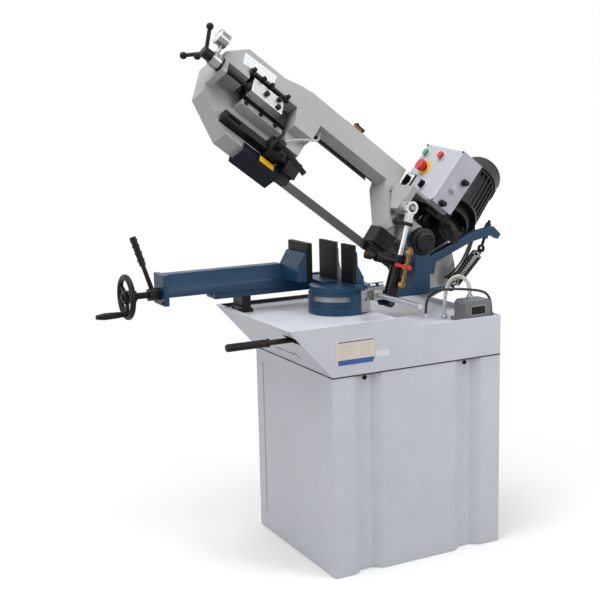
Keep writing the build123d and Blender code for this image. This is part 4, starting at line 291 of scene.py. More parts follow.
def brushed_group():
    """Fine lines left by grinding, drawn out along one axis."""
    group = Group("Brushed Lines", "Stretch", (30, 900, 900), ("Lines", "Blotch"))
    drawn = group.add("VectorMath", {0: group.vector, 1: group.setting}, operation="MULTIPLY")[0]
    return group.made(Lines=group.noise(drawn, 1.0, 5, 0.6), Blotch=group.noise(group.vector, 35.0, 5, 0.6))


def moulded_grain_group():
    """Fine pitted grain of a moulding tool."""
    group = Group("Moulded Grain", "Scale", 1600.0, ("Height", "Shade"))
    cells = group.add("TexVoronoi", {"Vector": group.vector, "Scale": group.setting}, feature="SMOOTH_F1")
    return group.made(Height=cells["Distance"], Shade=group.noise(group.vector, 40.0, 4, 0.55))


GROUPS = {}


def make_groups():
    GROUPS.update(wear=edge_wear_group(), skin=paint_skin_group(), dust=settled_dust_group(),
                  brushed=brushed_group(), grain=moulded_grain_group())


# Finishes


FINISHES = {}
RUBBED_TINT = (0.35, 0.35, 0.36, 1.0)
DUST_TINT = (0.62, 0.61, 0.58, 1.0)


def shade(tint, factor):
    return tuple(min(1.0, v * factor) for v in tint) + (1.0,)


class Finish(Nodes):
    """Material under construction: its tree, shader and Object coordinates."""

    def __init__(self, name):
        self.material = bpy.data.materials.new(name)
        self.material.use_nodes = True
        super().__init__(self.material.node_tree)
        self.vector = self.add("TexCoord")["Object"]

    def group(self, key, setting, value):
        """Shared group placed in this material with its own setting."""
        return self.add("Group", {"Vector": self.vector, setting: value}, node_tree=GROUPS[key])

    def made(self, **values):
        """Material with a link or a value on each named input of its shader."""
        for label, value in values.items():
            self.feed(self.tree.nodes["Principled BSDF"].inputs[label.replace("_", " ")], value)
        return self.material


def painted(name, base, rough, peel, wear, dust, drift=0.06, coat=0.0, gloss=0.5):
    """Sprayed paint with peel, a slow drift of shade, rubbed edges and a little dust."""
    finish = Finish(name)
    peel_scale, peel_height = peel
    skin = finish.group("skin", "Peel Scale", peel_scale)
    mask = finish.group("wear", "Radius", 0.0025)["Mask"]
    settled = finish.group("dust", "Amount", dust)["Mask"]
    tint = finish.mix(skin["Mottle"], shade(base, 1 - drift), shade(base, 1 + drift))
    rubbed = finish.mix(finish.scaled(mask, wear), tint, RUBBED_TINT)
    return finish.made(Base_Color=finish.mix(settled, rubbed, DUST_TINT),
                       Roughness=finish.ranged(skin["Mottle"], 0.0, 1.0, rough - 0.06, rough + 0.08),
                       Normal=finish.bump(skin["Height"], peel_height),
                       Coat_Weight=coat, Coat_Roughness=0.12, Specular_IOR_Level=gloss)


def bare_metal(name, base, rough, stretch=(30, 900, 900), relief=0.00004, stain=0.18):
    """Ground or turned metal with fine lines and faint stains."""
    finish = Finish(name)
    lines = finish.group("brushed", "Stretch", stretch)
    mask = finish.group("wear", "Radius", 0.0015)["Mask"]
    tint = finish.mix(lines["Blotch"], shade(base, 1 - stain), shade(base, 1.06))
    return finish.made(Base_Color=finish.mix(finish.scaled(mask, 0.5), tint, shade(base, 1.35)),
                       Roughness=finish.ranged(lines["Lines"], 0.3, 0.7, rough - 0.08, rough + 0.1),
                       Normal=finish.bump(lines["Lines"], relief), Metallic=1.0)


def moulded(name, base, rough, scale=1600.0, relief=0.00006, drift=0.1, wear=0.15, gloss=0.5):
    """Moulded plastic with a pitted grain and edges polished by hands."""
    finish = Finish(name)
    grain = finish.group("grain", "Scale", scale)
    mask = finish.group("wear", "Radius", 0.002)["Mask"]
    tint = finish.mix(grain["Shade"], shade(base, 1 - drift), shade(base, 1 + drift))
    return finish.made(Base_Color=finish.mix(finish.scaled(mask, wear), tint, shade(base, 1.8)),
                       Roughness=finish.ranged(grain["Shade"], 0.3, 0.7, rough - 0.05, rough + 0.08),
                       Normal=finish.bump(grain["Height"], relief), Specular_IOR_Level=gloss)


def glossy(name, base, rough):
    return moulded(name, base, rough, 2500.0, 0.00002, 0.05)


def printed(name, base, drift=0.04):
    return moulded(name, base, 0.35, 2200.0, 0.00001, drift, 0.0)


def clear_vinyl(name, base):
    """See-through hose with a soft surface."""
    finish = Finish(name)
    grain = finish.group("grain", "Scale", 500.0)
    return finish.made(Base_Color=finish.mix(grain["Shade"], shade(base, 0.92), shade(base, 1.0)),
                       Roughness=finish.ranged(grain["Shade"], 0.3, 0.7, 0.18, 0.32),
                       Normal=finish.bump(grain["Height"], 0.00008), Transmission_Weight=0.6, IOR=1.4)


def make_finishes(c):
    """Every finish of the machine by its name, from the colour settings."""
    satin = (420.0, 0.0003)
    FINISHES.update({
        "sheet_grey": painted("sheet powder coat", c.sheet_grey, 0.42, (700.0, 0.00012), 0.12, 0.08, 0.03),
        "cast_grey": painted("cast grey enamel", c.cast_grey, 0.5, (300.0, 0.0005), 0.2, 0.05, 0.05, gloss=0.25),
        "box_grey": painted("control box enamel", c.box_grey, 0.42, (900.0, 0.0001), 0.15, 0.03, 0.03, gloss=0.3),
        "machine_blue": painted("machine blue enamel", c.machine_blue, 0.38, (320.0, 0.0004), 0.12, 0.02, coat=0.04,
                                gloss=0.28),
        "guard_navy": painted("guard navy paint", c.guard_navy, 0.4, (500.0, 0.0002), 0.08, 0.015, gloss=0.15),
        "black_paint": painted("black satin paint", c.black, 0.36, satin, 0.1, 0.015, 0.15, gloss=0.2),
        # The fan hood's grey, also laid on the gear cover's ridges as a painted highlight
        "hood_grey_and_ridge_highlight": painted("fan hood paint", shade(c.black, 1.6)[:3], 0.42, satin, 0.12, 0.02, gloss=0.25),
        "black_oxide": bare_metal("black oxide steel", c.oxide, 0.5, (60, 60, 900), stain=0.3),
        "machined_steel": bare_metal("ground steel", c.steel, 0.32),
        "bright_steel": bare_metal("bright steel", shade(c.steel, 1.15)[:3], 0.22, (900, 900, 40)),
        "turned_steel": bare_metal("turned steel", shade(c.steel, 0.58)[:3], 0.34, (400, 400, 400)),
        "blade_steel": bare_metal("blade steel", c.blade, 0.4, (40, 900, 900), stain=0.3),
        "wheel_iron": bare_metal("turned iron", c.iron, 0.45, (400, 400, 400), 0.00008, 0.3),
        "block_aluminium": bare_metal("milled aluminium", c.aluminium, 0.34, (40, 800, 800)),
        "valve_brass": bare_metal("plain brass", c.brass, 0.3, (200, 200, 200), 0.00005, 0.35),
        "black_plastic": moulded("black moulded plastic", c.black_plastic, 0.38, gloss=0.2),
        "pump_grey": moulded("pump hood plastic", c.pump_grey, 0.45, 900.0, 0.0001),
        # The rubber black also serves as painted shade: the strip under the tray's rim and the strips on its inner rims
        "cable_rubber": moulded("cable rubber", c.rubber, 0.5, 700.0, 0.00008),
        "red_plastic": glossy("glossy red plastic", c.red, 0.25),
        "green_plastic": glossy("glossy green plastic", c.green, 0.28),
        "yellow_plastic": glossy("yellow plastic", c.yellow, 0.35),
        # The plate white also lies on the lid's bead as a painted highlight
        "plate_white_and_bead_highlight": printed("white plate", c.plate_white_and_bead_highlight, 0.03),
        "plate_beige": printed("beige plate", c.plate_beige),
        "plate_blue": printed("blue print", c.plate_blue),
        "clear_hose": clear_vinyl("clear vinyl", c.hose_clear),
    })


# Shapes in millimetres, each a bmesh of its own


def tidy(shape):
    """Merges doubles and points the faces outwards."""
    bmesh.ops.remove_doubles(shape, verts=shape.verts, dist=0.0005)
    bmesh.ops.recalc_face_normals(shape, faces=shape.faces)
    return shape


def bevelled(shape, geom, offset, segments=3, affect="EDGES"):
    """Shape with some of its edges or corners rounded."""
    bmesh.ops.bevel(shape, geom=geom, offset=offset, segments=segments, profile=0.5, affect=affect, material=-1)
    return shape


def raised(shape, height):
    """Solid from a flat shape by raising its faces."""
    made = bmesh.ops.extrude_face_region(shape, geom=shape.faces[:])
    top = [v for v in made["geom"] if isinstance(v, bmesh.types.BMVert)]
    bmesh.ops.translate(shape, verts=top, vec=(0, 0, height))
    return tidy(shape)


def turned(profile, steps, angle=360):
    """Solid turned about z from radius and height pairs that close on the axis or on themselves."""
    shape = bmesh.new()
    verts = [shape.verts.new((radius, 0, height)) for radius, height in profile]
    section = verts + [shape.edges.new(pair) for pair in zip(verts, verts[1:])]
    if profile[0][0] > 0:
        section.append(shape.edges.new((verts[-1], verts[0])))
    if angle < 360:
        section.append(shape.faces.new(verts))
    bmesh.ops.spin(shape, geom=section, cent=(0, 0, 0), axis=(0, 0, 1), angle=math.radians(angle), steps=steps,
                   use_merge=angle == 360)
    return tidy(shape)


def drum(radius, low, high, steps):
    """Plain cylinder about z."""
    return turned([(0, low), (radius, low), (radius, high), (0, high)], steps)


def ring(inner, outer, low, high, steps=36, soft=0.0):
    """Ring about z, with its upper rims broken."""
    upper = [(outer, high), (inner, high)]
    if soft:
        upper = [(outer, high - soft), (outer - soft, high), (inner + soft, high), (inner, high - soft)]
    return turned([(inner, low), (outer, low)] + upper, steps)


def block(x, y, z, rounding=0.0, segments=3):
    """Block between limits along each axis, with rounded edges."""
    shape = bmesh.new()
    size = [high - low for low, high in (x, y, z)]
    middle = [(high + low) / 2 for low, high in (x, y, z)]
    bmesh.ops.create_cube(shape, size=1.0, matrix=at(*middle) @ Matrix.Diagonal(size + [1]))
    return bevelled(shape, shape.edges[:], rounding, segments) if rounding else shape


def prism(outline, low, high):
    """Outline in x and y raised from one level to another."""
    shape = bmesh.new()
    shape.faces.new([shape.verts.new((x, y, low)) for x, y in outline])
    return raised(shape, high - low)


def plate(width, height, thick, corner):
    """Flat plate about the origin with rounded corners."""
    shape = bmesh.new()
    bmesh.ops.create_grid(shape, x_segments=1, y_segments=1, size=0.5, matrix=Matrix.Diagonal((width, height, 1, 1)))
    return raised(bevelled(shape, shape.verts[:], corner, affect="VERTICES"), thick)


def hex_head(across, height):
    """Hexagon head with its upper rim broken."""
    shape = bmesh.new()
    bmesh.ops.create_circle(shape, cap_ends=True, segments=6, radius=across / math.sqrt(3))
    raised(shape, height)
    rim = [e for e in shape.edges if all(v.co.z > height / 2 for v in e.verts)]
    return bevelled(shape, rim, across * 0.06, 1)


def socket_head(radius, height):
    """Round cap screw with a round socket."""
    return turned([(0, 0), (radius, 0), (radius, height * 0.85), (radius * 0.88, height), (radius * 0.52, height),
                   (radius * 0.5, height * 0.45), (0, height * 0.4)], 20)


def hex_bolts(across, places, way=(0, 0, 1)):
    """Hexagon bolts on washers at several places, all facing one way."""
    shapes = []
    for place in places:
        stand = turn_to(way, place)
        shapes.append((drum(across * 0.78, 0, across * 0.14, 20), stand))
        shapes.append((hex_head(across, across * 0.5), stand @ at(0, 0, across * 0.14)))
    return shapes


def screws(radius, height, places, way=(0, 0, 1)):
    """Socket head screws at several places, all facing one way."""
    return [(socket_head(radius, height), turn_to(way, place)) for place in places]


def round_places(centre, radius, count, height, offset=0.0):
    """Places spaced evenly round a circle, the first a share of a step on."""
    angles = [FULL_TURN * (k + offset) / count for k in range(count)]
    return [(centre[0] + radius * math.cos(a), centre[1] + radius * math.sin(a), height) for a in angles]


def knurled(radius, low, high, teeth):
    """Drum with a row of straight teeth round it."""
    shape = bmesh.new()
    bmesh.ops.create_cone(shape, cap_ends=True, segments=2 * teeth, radius1=radius, radius2=radius, depth=high - low,
                          matrix=at(0, 0, (low + high) / 2))
    roots = [v for v in shape.verts if round(math.atan2(v.co.y, v.co.x) / FULL_TURN * 2 * teeth) % 2]
    bmesh.ops.scale(shape, verts=roots, vec=(0.955, 0.955, 1))
    return shape


def ribbed_sleeve(inner, outer, long, ribs):
    """Sleeve along z with rounded ribs round it and a closed end."""
    pitch = long / ribs
    profile = [(0, 0), (inner, 0)]
    for low in (rib * pitch for rib in range(ribs)):
        profile += [(outer, low + pitch * 0.15), (outer, low + pitch * 0.65), (inner, low + pitch * 0.8)]
    return turned(profile + [(inner, long), (inner * 0.8, long + 2), (0, long + 2)], 28)


def open_wheel():
    """Handwheel about z: round rim, three tapered spokes, hub, crank boss and spindle."""
    rim = [place[:2] for place in round_places((61, 0), 9, 16, 0)]
    hub = [(9.1, -30), (17, -30), (20, -26), (20, 8), (17, 12), (9.1, 12)]
    crank = [(0, -8), (9.5, -8), (9.5, 10), (8, 12), (5, 12), (5, 98), (0, 98)]
    shapes = [turned(rim, 64), turned(hub, 40), (turned(crank, 28), at(0, -52, 0))]
    for angle in (-90, 30, 150):
        spoke = prism([(16, -9), (56, -6), (56, 6), (16, 9)], -6, 4)
        shapes.append((bevelled(spoke, spoke.edges[:], 2.5, 2), spin(angle)))
    return shapes


# Pieces


SMOOTH_LIMIT = math.radians(32)
FLAT_LIMIT = math.cos(SMOOTH_LIMIT)
ROUND_LIMIT = math.cos(math.radians(62))
SHARP_ANGLE = math.radians(34)
FLAT_ANGLE = math.radians(1.5)
CROWDING = 2.2


def link_object(name, data):
    made = bpy.data.objects.new(name, data)
    bpy.context.scene.collection.objects.link(made)
    return made


def add_object(shape, name, finish):
    """Object at the origin with its place in its mesh."""
    mesh = bpy.data.meshes.new(name)
    shape.to_mesh(mesh)
    shape.free()
    mesh.shade_smooth()
    mesh.set_sharp_from_angle(angle=SMOOTH_LIMIT)
    mesh.materials.append(FINISHES[finish])
    return link_object(name, mesh)


def fit(name, finish, rider, local, shapes):
    """Piece in a local frame from shapes or pairs of a shape and its place, riding on a body or with a CAD node."""
    whole = bmesh.new()
    for item in shapes:
        shape, place = item if isinstance(item, tuple) else (item, Matrix())
        bmesh.ops.transform(shape, matrix=local @ place, verts=shape.verts)
        mesh = bpy.data.meshes.new("shape")
        shape.to_mesh(mesh)
        shape.free()
        whole.from_mesh(mesh)
        bpy.data.meshes.remove(mesh)
    piece = add_object(whole, name, finish)
    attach(piece, BODIES.get(rider, rider))
    return piece


def shade_faces(mesh):
    """Sets corner normals: broad faces stay flat, curved ones smooth, and roundings run into both."""
    soft = [bool(item.value) for item in mesh.attributes["rounding"].data]
    normals = [face.normal.copy() for face in mesh.polygons]
    weighed = [face.normal * face.area for face in mesh.polygons]
    faces_at = [[] for _ in mesh.vertices]
    for face in mesh.polygons:
        for vertex in face.vertices:
            faces_at[vertex].append(face.index)
    broad_at = [[f for f in faces if not soft[f]] or faces for faces in faces_at]
    corners = []
    for face in mesh.polygons:
        own = normals[face.index]
        limit = ROUND_LIMIT if soft[face.index] else FLAT_LIMIT
        for vertex in face.vertices:
            total = Vector()
            for other in broad_at[vertex]:
                if normals[other].dot(own) > limit:
                    total += weighed[other]
            corners.append(total.normalized() if total.length_squared else own)
    mesh.normals_split_custom_set(corners)
    mesh.attributes.remove(mesh.attributes["rounding"])


def bevel_edges(shape, offset):
    """Sharp edges that have room for a rounding of this size at both their ends."""
    crowded = {v for e in shape.edges if e.calc_length() < CROWDING * offset for v in e.verts}
    sharp = [e for e in shape.edges if len(e.link_faces) == 2 and e.calc_face_angle(0) > SHARP_ANGLE]
    return [e for e in sharp if not crowded.intersection(e.verts)]


def rounded_copy(node, finish, offset):
    """Copy of a CAD node with its sharp edges rounded, standing for it."""
    shape = bmesh.new()
    shape.from_mesh(NODES[node].data)
    bmesh.ops.remove_doubles(shape, verts=shape.verts, dist=1e-5)
    bmesh.ops.dissolve_limit(shape, angle_limit=FLAT_ANGLE, verts=shape.verts, edges=shape.edges,
                             use_dissolve_boundaries=False, delimit=set())
    bmesh.ops.connect_verts_concave(shape, faces=shape.faces)
    rounding = shape.faces.layers.int.new("rounding")
    made = bmesh.ops.bevel(shape, geom=bevel_edges(shape, offset), offset=offset, offset_type="OFFSET", segments=2,
                           profile=0.5, affect="EDGES", clamp_overlap=True, material=-1, miter_outer="ARC")
    for face in made["faces"]:
        face[rounding] = 1
    bmesh.ops.connect_verts_concave(shape, faces=shape.faces)
    piece = add_object(shape, node + "_dressed", finish)
    shade_faces(piece.data)
    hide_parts(node)
    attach(piece, BODIES[node])


# CAD nodes by rounding and finish; without a rounding a node keeps its mesh and takes only the finish
DRESSED = {
    "sheet_round": {
        "sheet_grey": "stand_cabinet front_panel chip_tray",
        "cast_grey": "wheel_covers",
        "guard_navy": "blade_guard",
    },
    "cast_round": {
        "cast_grey": "bow_casting",
        "box_grey": "control_box",
        "machine_blue": "vise_bed vise_slide_body fixed_jaw_blocks swivel_arm spring_arm",
        "black_paint": "gearbox",
        "pump_grey": "coolant_pump",
    },
    "machined_round": {
        "box_grey": "control_lid",
        "machine_blue": "base_pedestal",
        "black_paint": "vise_support rear_guide front_guide_arm front_guide_block guide_clamp motor_body"
                       " damper_cylinder tension_slide spring_eyebolt",
        "hood_grey_and_ridge_highlight": "motor_fan_cover",
        "black_oxide": "fixed_jaw_plates moving_jaw_plate vise_screw",
        "black_plastic": "handwheel_grip quick_clamp_lever tension_handle guide_clamp_lever feed_knob tap_handle"
                         " main_switch speed_selector",
        "turned_steel": "length_stop tension_gauge",
        "block_aluminium": "tension_block",
        "pump_grey": "coolant_tank",
        "valve_brass": "damper_valve arm_tap",
        "red_plastic": "valve_handle stop_button estop_button",
        "green_plastic": "start_button",
        "bright_steel": "stop_rod damper_rod",
        "machined_steel": "pivot_shaft",
    },
    None: {"blade_steel": "saw_blade", "wheel_iron": "idler_wheel drive_wheel"},
}


class SAW_OT_castings(Operator):
    """Rounds the edges of the listed CAD nodes but the blade and band wheels, and gives each its finish"""
    bl_idname = "saw.castings"
    bl_label = "Castings and machined pieces"

    def execute(self, context):
        make_groups()
        make_finishes(context.scene.saw_colours)
        for rounding, finishes in DRESSED.items():
            for finish, node in ((finish, node) for finish, nodes in finishes.items() for node in nodes.split()):
                if rounding:
                    rounded_copy(node, finish, getattr(context.scene.saw_sizes, rounding))
                else:
                    NODES[node].data.materials.clear()
                    NODES[node].data.materials.append(FINISHES[finish])
        return {"FINISHED"}


# Fittings


# Black strip round the stand under the tray's rim: painted shadow of the gap where the tray overhangs the cabinet
SHADE_STRIP_X, SHADE_STRIP_Y, SHADE_STRIP_Z, SHADE_STRIP_WIDTH = 260.5, 301.0, (616.0, 619.7), 1.0
# Black strips on the tray's inner left and rear rims: painted shade of the tray's inner walls
RIM_SHADE_X = (-258.8, -257.4)
TRAY_FOOT, TRAY_SLOPE = Vector((0, -301, 620)), Vector((0, -139, 154)).normalized()
FLANK = local_frame((262, 0, 0), (0, 1, 0), ACROSS)
SIGN = local_frame(TRAY_FOOT + TRAY_SLOPE * 62, ACROSS, (0, -TRAY_SLOPE.z, TRAY_SLOPE.y))
INK = (0, 0.4)


class SAW_OT_stand_fittings(Operator):
    """Puts the black strips of painted shade under the tray's rim and along its inner rims, bolts, blank plates and the
    lock lever's sign on the stand
    """
    bl_idname = "saw.stand_fittings"
    bl_label = "Stand fittings"

    def execute(self, context):
        sheet = context.scene.saw_sizes.plate_sheet / MM
        # The strip round the cabinet's top is painted shadow under the tray's rim
        outer, half = SHADE_STRIP_X + SHADE_STRIP_WIDTH, SHADE_STRIP_WIDTH / 2
        shade_strip = [block(x, (-SHADE_STRIP_Y, SHADE_STRIP_Y), SHADE_STRIP_Z) for x in ((SHADE_STRIP_X, outer), (-outer, -SHADE_STRIP_X))]
        shade_strip += [block((-outer, outer), (y - half, y + half), SHADE_STRIP_Z) for y in (SHADE_STRIP_Y, -SHADE_STRIP_Y)]
        fit("tray_seal", "cable_rubber", "base", WORLD, shade_strip)
        bolts = []
        for way in (1, -1):
            bolts += hex_bolts(9, product((way * 238.5,), (-180, 180), (602,)), (way, 0, 0))
        fit("stand_bolts", "black_oxide", "base", WORLD, bolts)
        # Dark strips along the tray's inner rims paint the shade of its inner walls
        rim_shade = [block(RIM_SHADE_X, (-424, -42), (762, 773.4)), block(RIM_SHADE_X, (6, 297), (733, 743.4))]
        fit("tray_edging", "cable_rubber", "base", WORLD, rim_shade)
        fit("rating_plate", "plate_beige", "base", FLANK, [(plate(133, 75, sheet, 3), at(-223.5, 690.5, 0))])
        bars = [(plate(122, tall, 0.3, 1), at(-221, z, sheet)) for tall, z in ((15, 661.5), (3, 722))]
        fit("rating_plate_bar", "plate_blue", "base", FLANK, bars)
        rules = []
        for row in range(5):
            step = row % 3
            for wide, y in ((30 + 14 * step, -262 + 7 * step), (34, -190)):
                rules.append((plate(wide, 1.6, 0.2, 0.5), at(y, 679 + 8 * row, sheet)))
        fit("rating_plate_rules", "machined_steel", "base", FLANK, rules)
        rivets = screws(2.6, 1.6, product((-286, -161), (657, 724), (sheet,)))
        fit("rating_plate_rivets", "block_aluminium", "base", FLANK, rivets)
        fit("side_sticker", "plate_white_and_bead_highlight", "base", FLANK, [(plate(45, 19.5, 0.5, 1), at(-131, 675, 0))])
        arrow = [block((4, 96), (-2, 2), INK)] + [block((x - 2, x + 2), (-14, 14), INK) for x in (-24, 124)]
        arrow += [prism([(tip, 0), (root, 7), (root, -7)], *INK) for tip, root in ((-10, 6), (110, 94))]
        fit("lock_lever_sign", "cable_rubber", "base", SIGN, arrow)
        return {"FINISHED"}


MITRE = WORLD @ at(0, -130, 0)
SCALE_BAND = ((95.6, 804), (96.9, 804), (96.9, 819), (95.6, 819))
JAW_ROWS = (884, 950)
WHEEL_PLACE = (-175, -766, 842)
LEVER_PLACE, LEVER_GRIP, LEVER_COLLAR = (213, -290, 738), (213, -484, 738), (213, -480, 738)
TABLE_SCREWS = ((70, -116, 856), (70, -96, 856), (-120, -112, 856), (-120, -94, 856))


def screw_rims(way, places):
    """Thin rings that mark countersunk screws in a face."""
    return [(ring(2.6, 6.5, 0, 0.1), turn_to(way, place)) for place in places]


class SAW_OT_vise_fittings(Operator):
    """Puts the degree scale, screws, open handwheel and lock lever on the mitre base and the vise"""
    bl_idname = "saw.vise_fittings"
    bl_label = "Vise fittings"

    def execute(self, context):
        fit("degree_scale", "turned_steel", "swivel", MITRE, [(turned(SCALE_BAND, 40, 74), spin(-82))])
        ticks = []
        for step in range(37):
            tall = 9 if step % 10 == 0 else 7 if step % 5 == 0 else 4
            ticks.append((block((96.8, 97.2), (-0.35, 0.35), (819 - tall, 818.4)), spin(-81 + 2 * step)))
        fit("degree_marks", "cable_rubber", "swivel", MITRE, ticks)
        fixed = screw_rims(FRONT, product((-112, -34, 30, 72), (-128,), JAW_ROWS))
        fit("jaw_screws", "black_oxide", "base", WORLD, fixed)
        moving = screw_rims(-FRONT, product((-150, -64), (-200,), JAW_ROWS))
        fit("moving_jaw_screws", "black_oxide", "moving_jaw_plate", WORLD, moving)
        feet = hex_bolts(8, product((-200, -150), (-366, -404), (768,)))
        fit("support_bolts", "black_oxide", "base", WORLD, feet)
        ends = screws(5, 5, product((-141, -209), (-661,), (818, 852)), FRONT)
        fit("end_plate_screws", "black_oxide", "vise_slide_body", WORLD, ends)
        wheel = fit("crank_wheel", "black_plastic", "vise_handwheel", WORLD @ turn_to(FRONT, WHEEL_PLACE), open_wheel())
        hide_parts("vise_handwheel")
        bar = [(ring(6.1, 16, -10, 10, 32, 1.5), at(*LEVER_PLACE)),
               (drum(8, 12, 198, 24), turn_to(FRONT, LEVER_PLACE)),
               (ribbed_sleeve(10.4, 11.6, 126, 14), turn_to(FRONT, LEVER_GRIP)),
               (ring(8.1, 13, 0, 5, 28, 1.2), turn_to(FRONT, LEVER_COLLAR))]
        lever = fit("lock_lever_bar", "black_plastic", "lock_lever", WORLD, bar)
        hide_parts("lock_lever")
        fit("table_screws", "black_oxide", "base", WORLD, screws(6, 6, TABLE_SCREWS))
        knob = [(knurled(9, 0, 10, 24), turn_to((0, 0, 1), (190, -108, 864)))]
        fit("stop_knob", "black_plastic", "length_stop", WORLD, knob)
        return {"FINISHED"}


CLAMP_SCREWS = ((620, -176), (620, -140), (668, -158))
BAR_SCREWS = ((658, -205, 108), (690, -205, 108), (596, -204, 112), (732, -204, 112))
ARM_SCREWS, GUIDE_SCREWS = ((712, -30, 44), (740, -30, 44)), ((552, -9, 70), (590, -9, 70), (590, -54, 70))
SPINDLE = at(0, -150, 89) @ spin(90, "Y")
DIAL = at(0, -220, 115) @ spin(90, "Y")
FRONT_WHEEL, REAR_WHEEL = (657, -160), (-100, -160)
BOX_OUTLINE, BOX_FACE = ((768, -268), (640, -276), (646, -230), (735, -221), (768, -212)), 100
GUARD_PLATE = at(574, 15.5, 31)
COLLARS = (
    ("spindle_collar", "black_paint", "tension_handle", SPINDLE, ((8.2, 11.5, 724, 734, 32, 1.5),)),
    ("gauge_collar", "black_paint", "bow", SPINDLE, ((20.6, 23.4, 834, 841, 40, 1),)),
    ("gauge_bands", "turned_steel", "bow", SPINDLE, ((20.8, 22.6, 846, 868, 40, 1.2), (20.8, 23.2, 852, 855, 40, 0.8))),
    ("dial_bezel", "turned_steel", "bow", DIAL, ((20.5, 24.2, 873, 880, 40, 1.2), (22.8, 24.2, 848, 851, 40, 0.6))),
)


class SAW_OT_tension_fittings(Operator):
    """Puts the clamp bar, screws, collars, dial face, teeth and plates on the blade's gear"""
    bl_idname = "saw.tension_fittings"
    bl_label = "Tension fittings"

    def execute(self, context):
        sheet = context.scene.saw_sizes.plate_sheet / MM
        caps = [(ring(7.1, 8.6, 104.1, 112.6, 24, 0.8), at(u, y, 0)) for u, y in CLAMP_SCREWS]
        caps += screws(7.1, 1.2, [(u, y, 112.1) for u, y in CLAMP_SCREWS])
        fit("clamp_block_screws", "black_plastic", "tension_block", BOW, caps)
        bar = [block((588, 740), (-212, -198), (62.2, 108), 2)]
        bar += [block((u, u + 16), (-212, -187), (104.8, 112), 1.5) for u in (588, 724)]
        bar += screws(7, 9, BAR_SCREWS) + screws(6.5, 7, product((591, 648, 706), (-114.5,), (62,)))
        fit("clamp_bar", "black_paint", "bow", BOW, bar)
        for name, finish, rider, axle, rings in COLLARS:
            fit(name, finish, rider, BOW, [(ring(*sizes), axle) for sizes in rings])
        fit("dial_face", "plate_white_and_bead_highlight", "bow", BOW, [(drum(20.6, 877.5, 878.6, 36), DIAL)])
        marks = [(block((14.5, 18.5), (-0.5, 0.5), (878.5, 879)), DIAL @ spin(30 * k)) for k in range(-4, 6)]
        marks.append((block((-4, 14), (-0.6, 0.6), (878.6, 879.2)), DIAL @ spin(50)))
        fit("dial_marks", "cable_rubber", "bow", BOW, marks)
        fit("guide_bar_screws", "black_oxide", "front_guide_arm", BOW, screws(5.5, 5, ARM_SCREWS))
        fit("guide_clamp_screws", "black_oxide", "bow", BOW, screws(5, 5, GUIDE_SCREWS))
        teeth = [prism([(u, -13.4), (u + 1.5, -16.4), (u + 7, -13.4)], -0.5, 0.5) for u in range(128, 512, 8)]
        fit("blade_teeth", "blade_steel", "bow", LIFT @ spin(90, "X"), teeth)
        rims = round_places(FRONT_WHEEL, 177, 8, -30, 0.5) + round_places(REAR_WHEEL, 163, 6, -30)
        fit("cover_screws", "black_oxide", "bow", BOW, screws(6, 4, rims, (0, 0, -1)))
        fit("tension_box_plate", "plate_white_and_bead_highlight", "bow", BOW, [prism(BOX_OUTLINE, BOX_FACE, BOX_FACE + sheet)])
        fit("guard_plate_frame", "cable_rubber", "blade_guard", BOW, [(plate(60, 28, 0.5, 2.5), GUARD_PLATE)])
        face = [(plate(54, 22, 0.5, 2), GUARD_PLATE @ at(0, 0, 0.5))]
        fit("guard_plate", "yellow_plastic", "blade_guard", BOW, face)
        return {"FINISHED"}


BEAD, BEAD_X, BEAD_Y = 0.9, 106.0, 86.5
BUTTONS, SELECTOR, ESTOP = ((-86, 61, 0), (10, 61, 0)), (10, -52, 0), (-41, 7, 0)
SWITCH = at(-86, -52, 0) @ spin(45)
DIAGONAL = math.sqrt(2)
BOX_GLANDS = ((113, 14.7, -62), (113, -82, -34))
GLAND_NUT = ((0, 0), (9.5, 0), (9.5, 12), (7.5, 17), (0, 18))


class SAW_OT_control_fittings(Operator):
    """Puts the rim, white as a painted highlight along the lid's edge, screws, bezels, plates and glands on the control
    box
    """
    bl_idname = "saw.control_fittings"
    bl_label = "Control fittings"

    def execute(self, context):
        # The bead round the lid is white, not box grey: a painted highlight along the lid's edge
        rim = [block((-BEAD_X, BEAD_X), (y - BEAD, y + BEAD), (0, BEAD), 0.4, 1) for y in (-BEAD_Y, BEAD_Y)]
        rim += [block((x - BEAD, x + BEAD), (-BEAD_Y, BEAD_Y), (0, BEAD), 0.4, 1) for x in (-BEAD_X, BEAD_X)]
        fit("lid_bead", "plate_white_and_bead_highlight", "bow", CONTROL, rim)
        fit("lid_screws", "black_oxide", "bow", CONTROL, screws(3.6, 2.4, product((-110, 110), (-90, 90), (0,))))
        bezels = [(ring(12.1, 16, 0, 4.2, 36, 1.2), at(*place)) for place in BUTTONS]
        bezels.append((ring(13.6, 17.5, 0, 4.6, 36, 1.2), at(*SELECTOR)))
        fit("button_bezels", "sheet_grey", "bow", CONTROL, bezels)
        fit("estop_ring", "yellow_plastic", "bow", CONTROL, [(ring(10.6, 28, 0, 2.4, 48, 1), at(*ESTOP))])
        # A ring of four steps, turned half a corner, is a square plate with a square hole
        for name, finish, outer, low, high in (("switch_frame", "cable_rubber", 28, 0, 5),
                                               ("switch_plate", "plate_white_and_bead_highlight", 25.5, 4.6, 5.5)):
            square = ring(10.2 * DIAGONAL, outer * DIAGONAL, low, high, 4)
            fit(name, finish, "bow", CONTROL, [(square, SWITCH)])
        glands = []
        for stand in (turn_to(ACROSS, place) for place in BOX_GLANDS):
            glands += [(hex_head(21, 7), stand), (turned(GLAND_NUT, 28), stand @ at(0, 0, 5))]
        fit("box_glands", "black_plastic", "bow", CONTROL, glands)
        return {"FINISHED"}


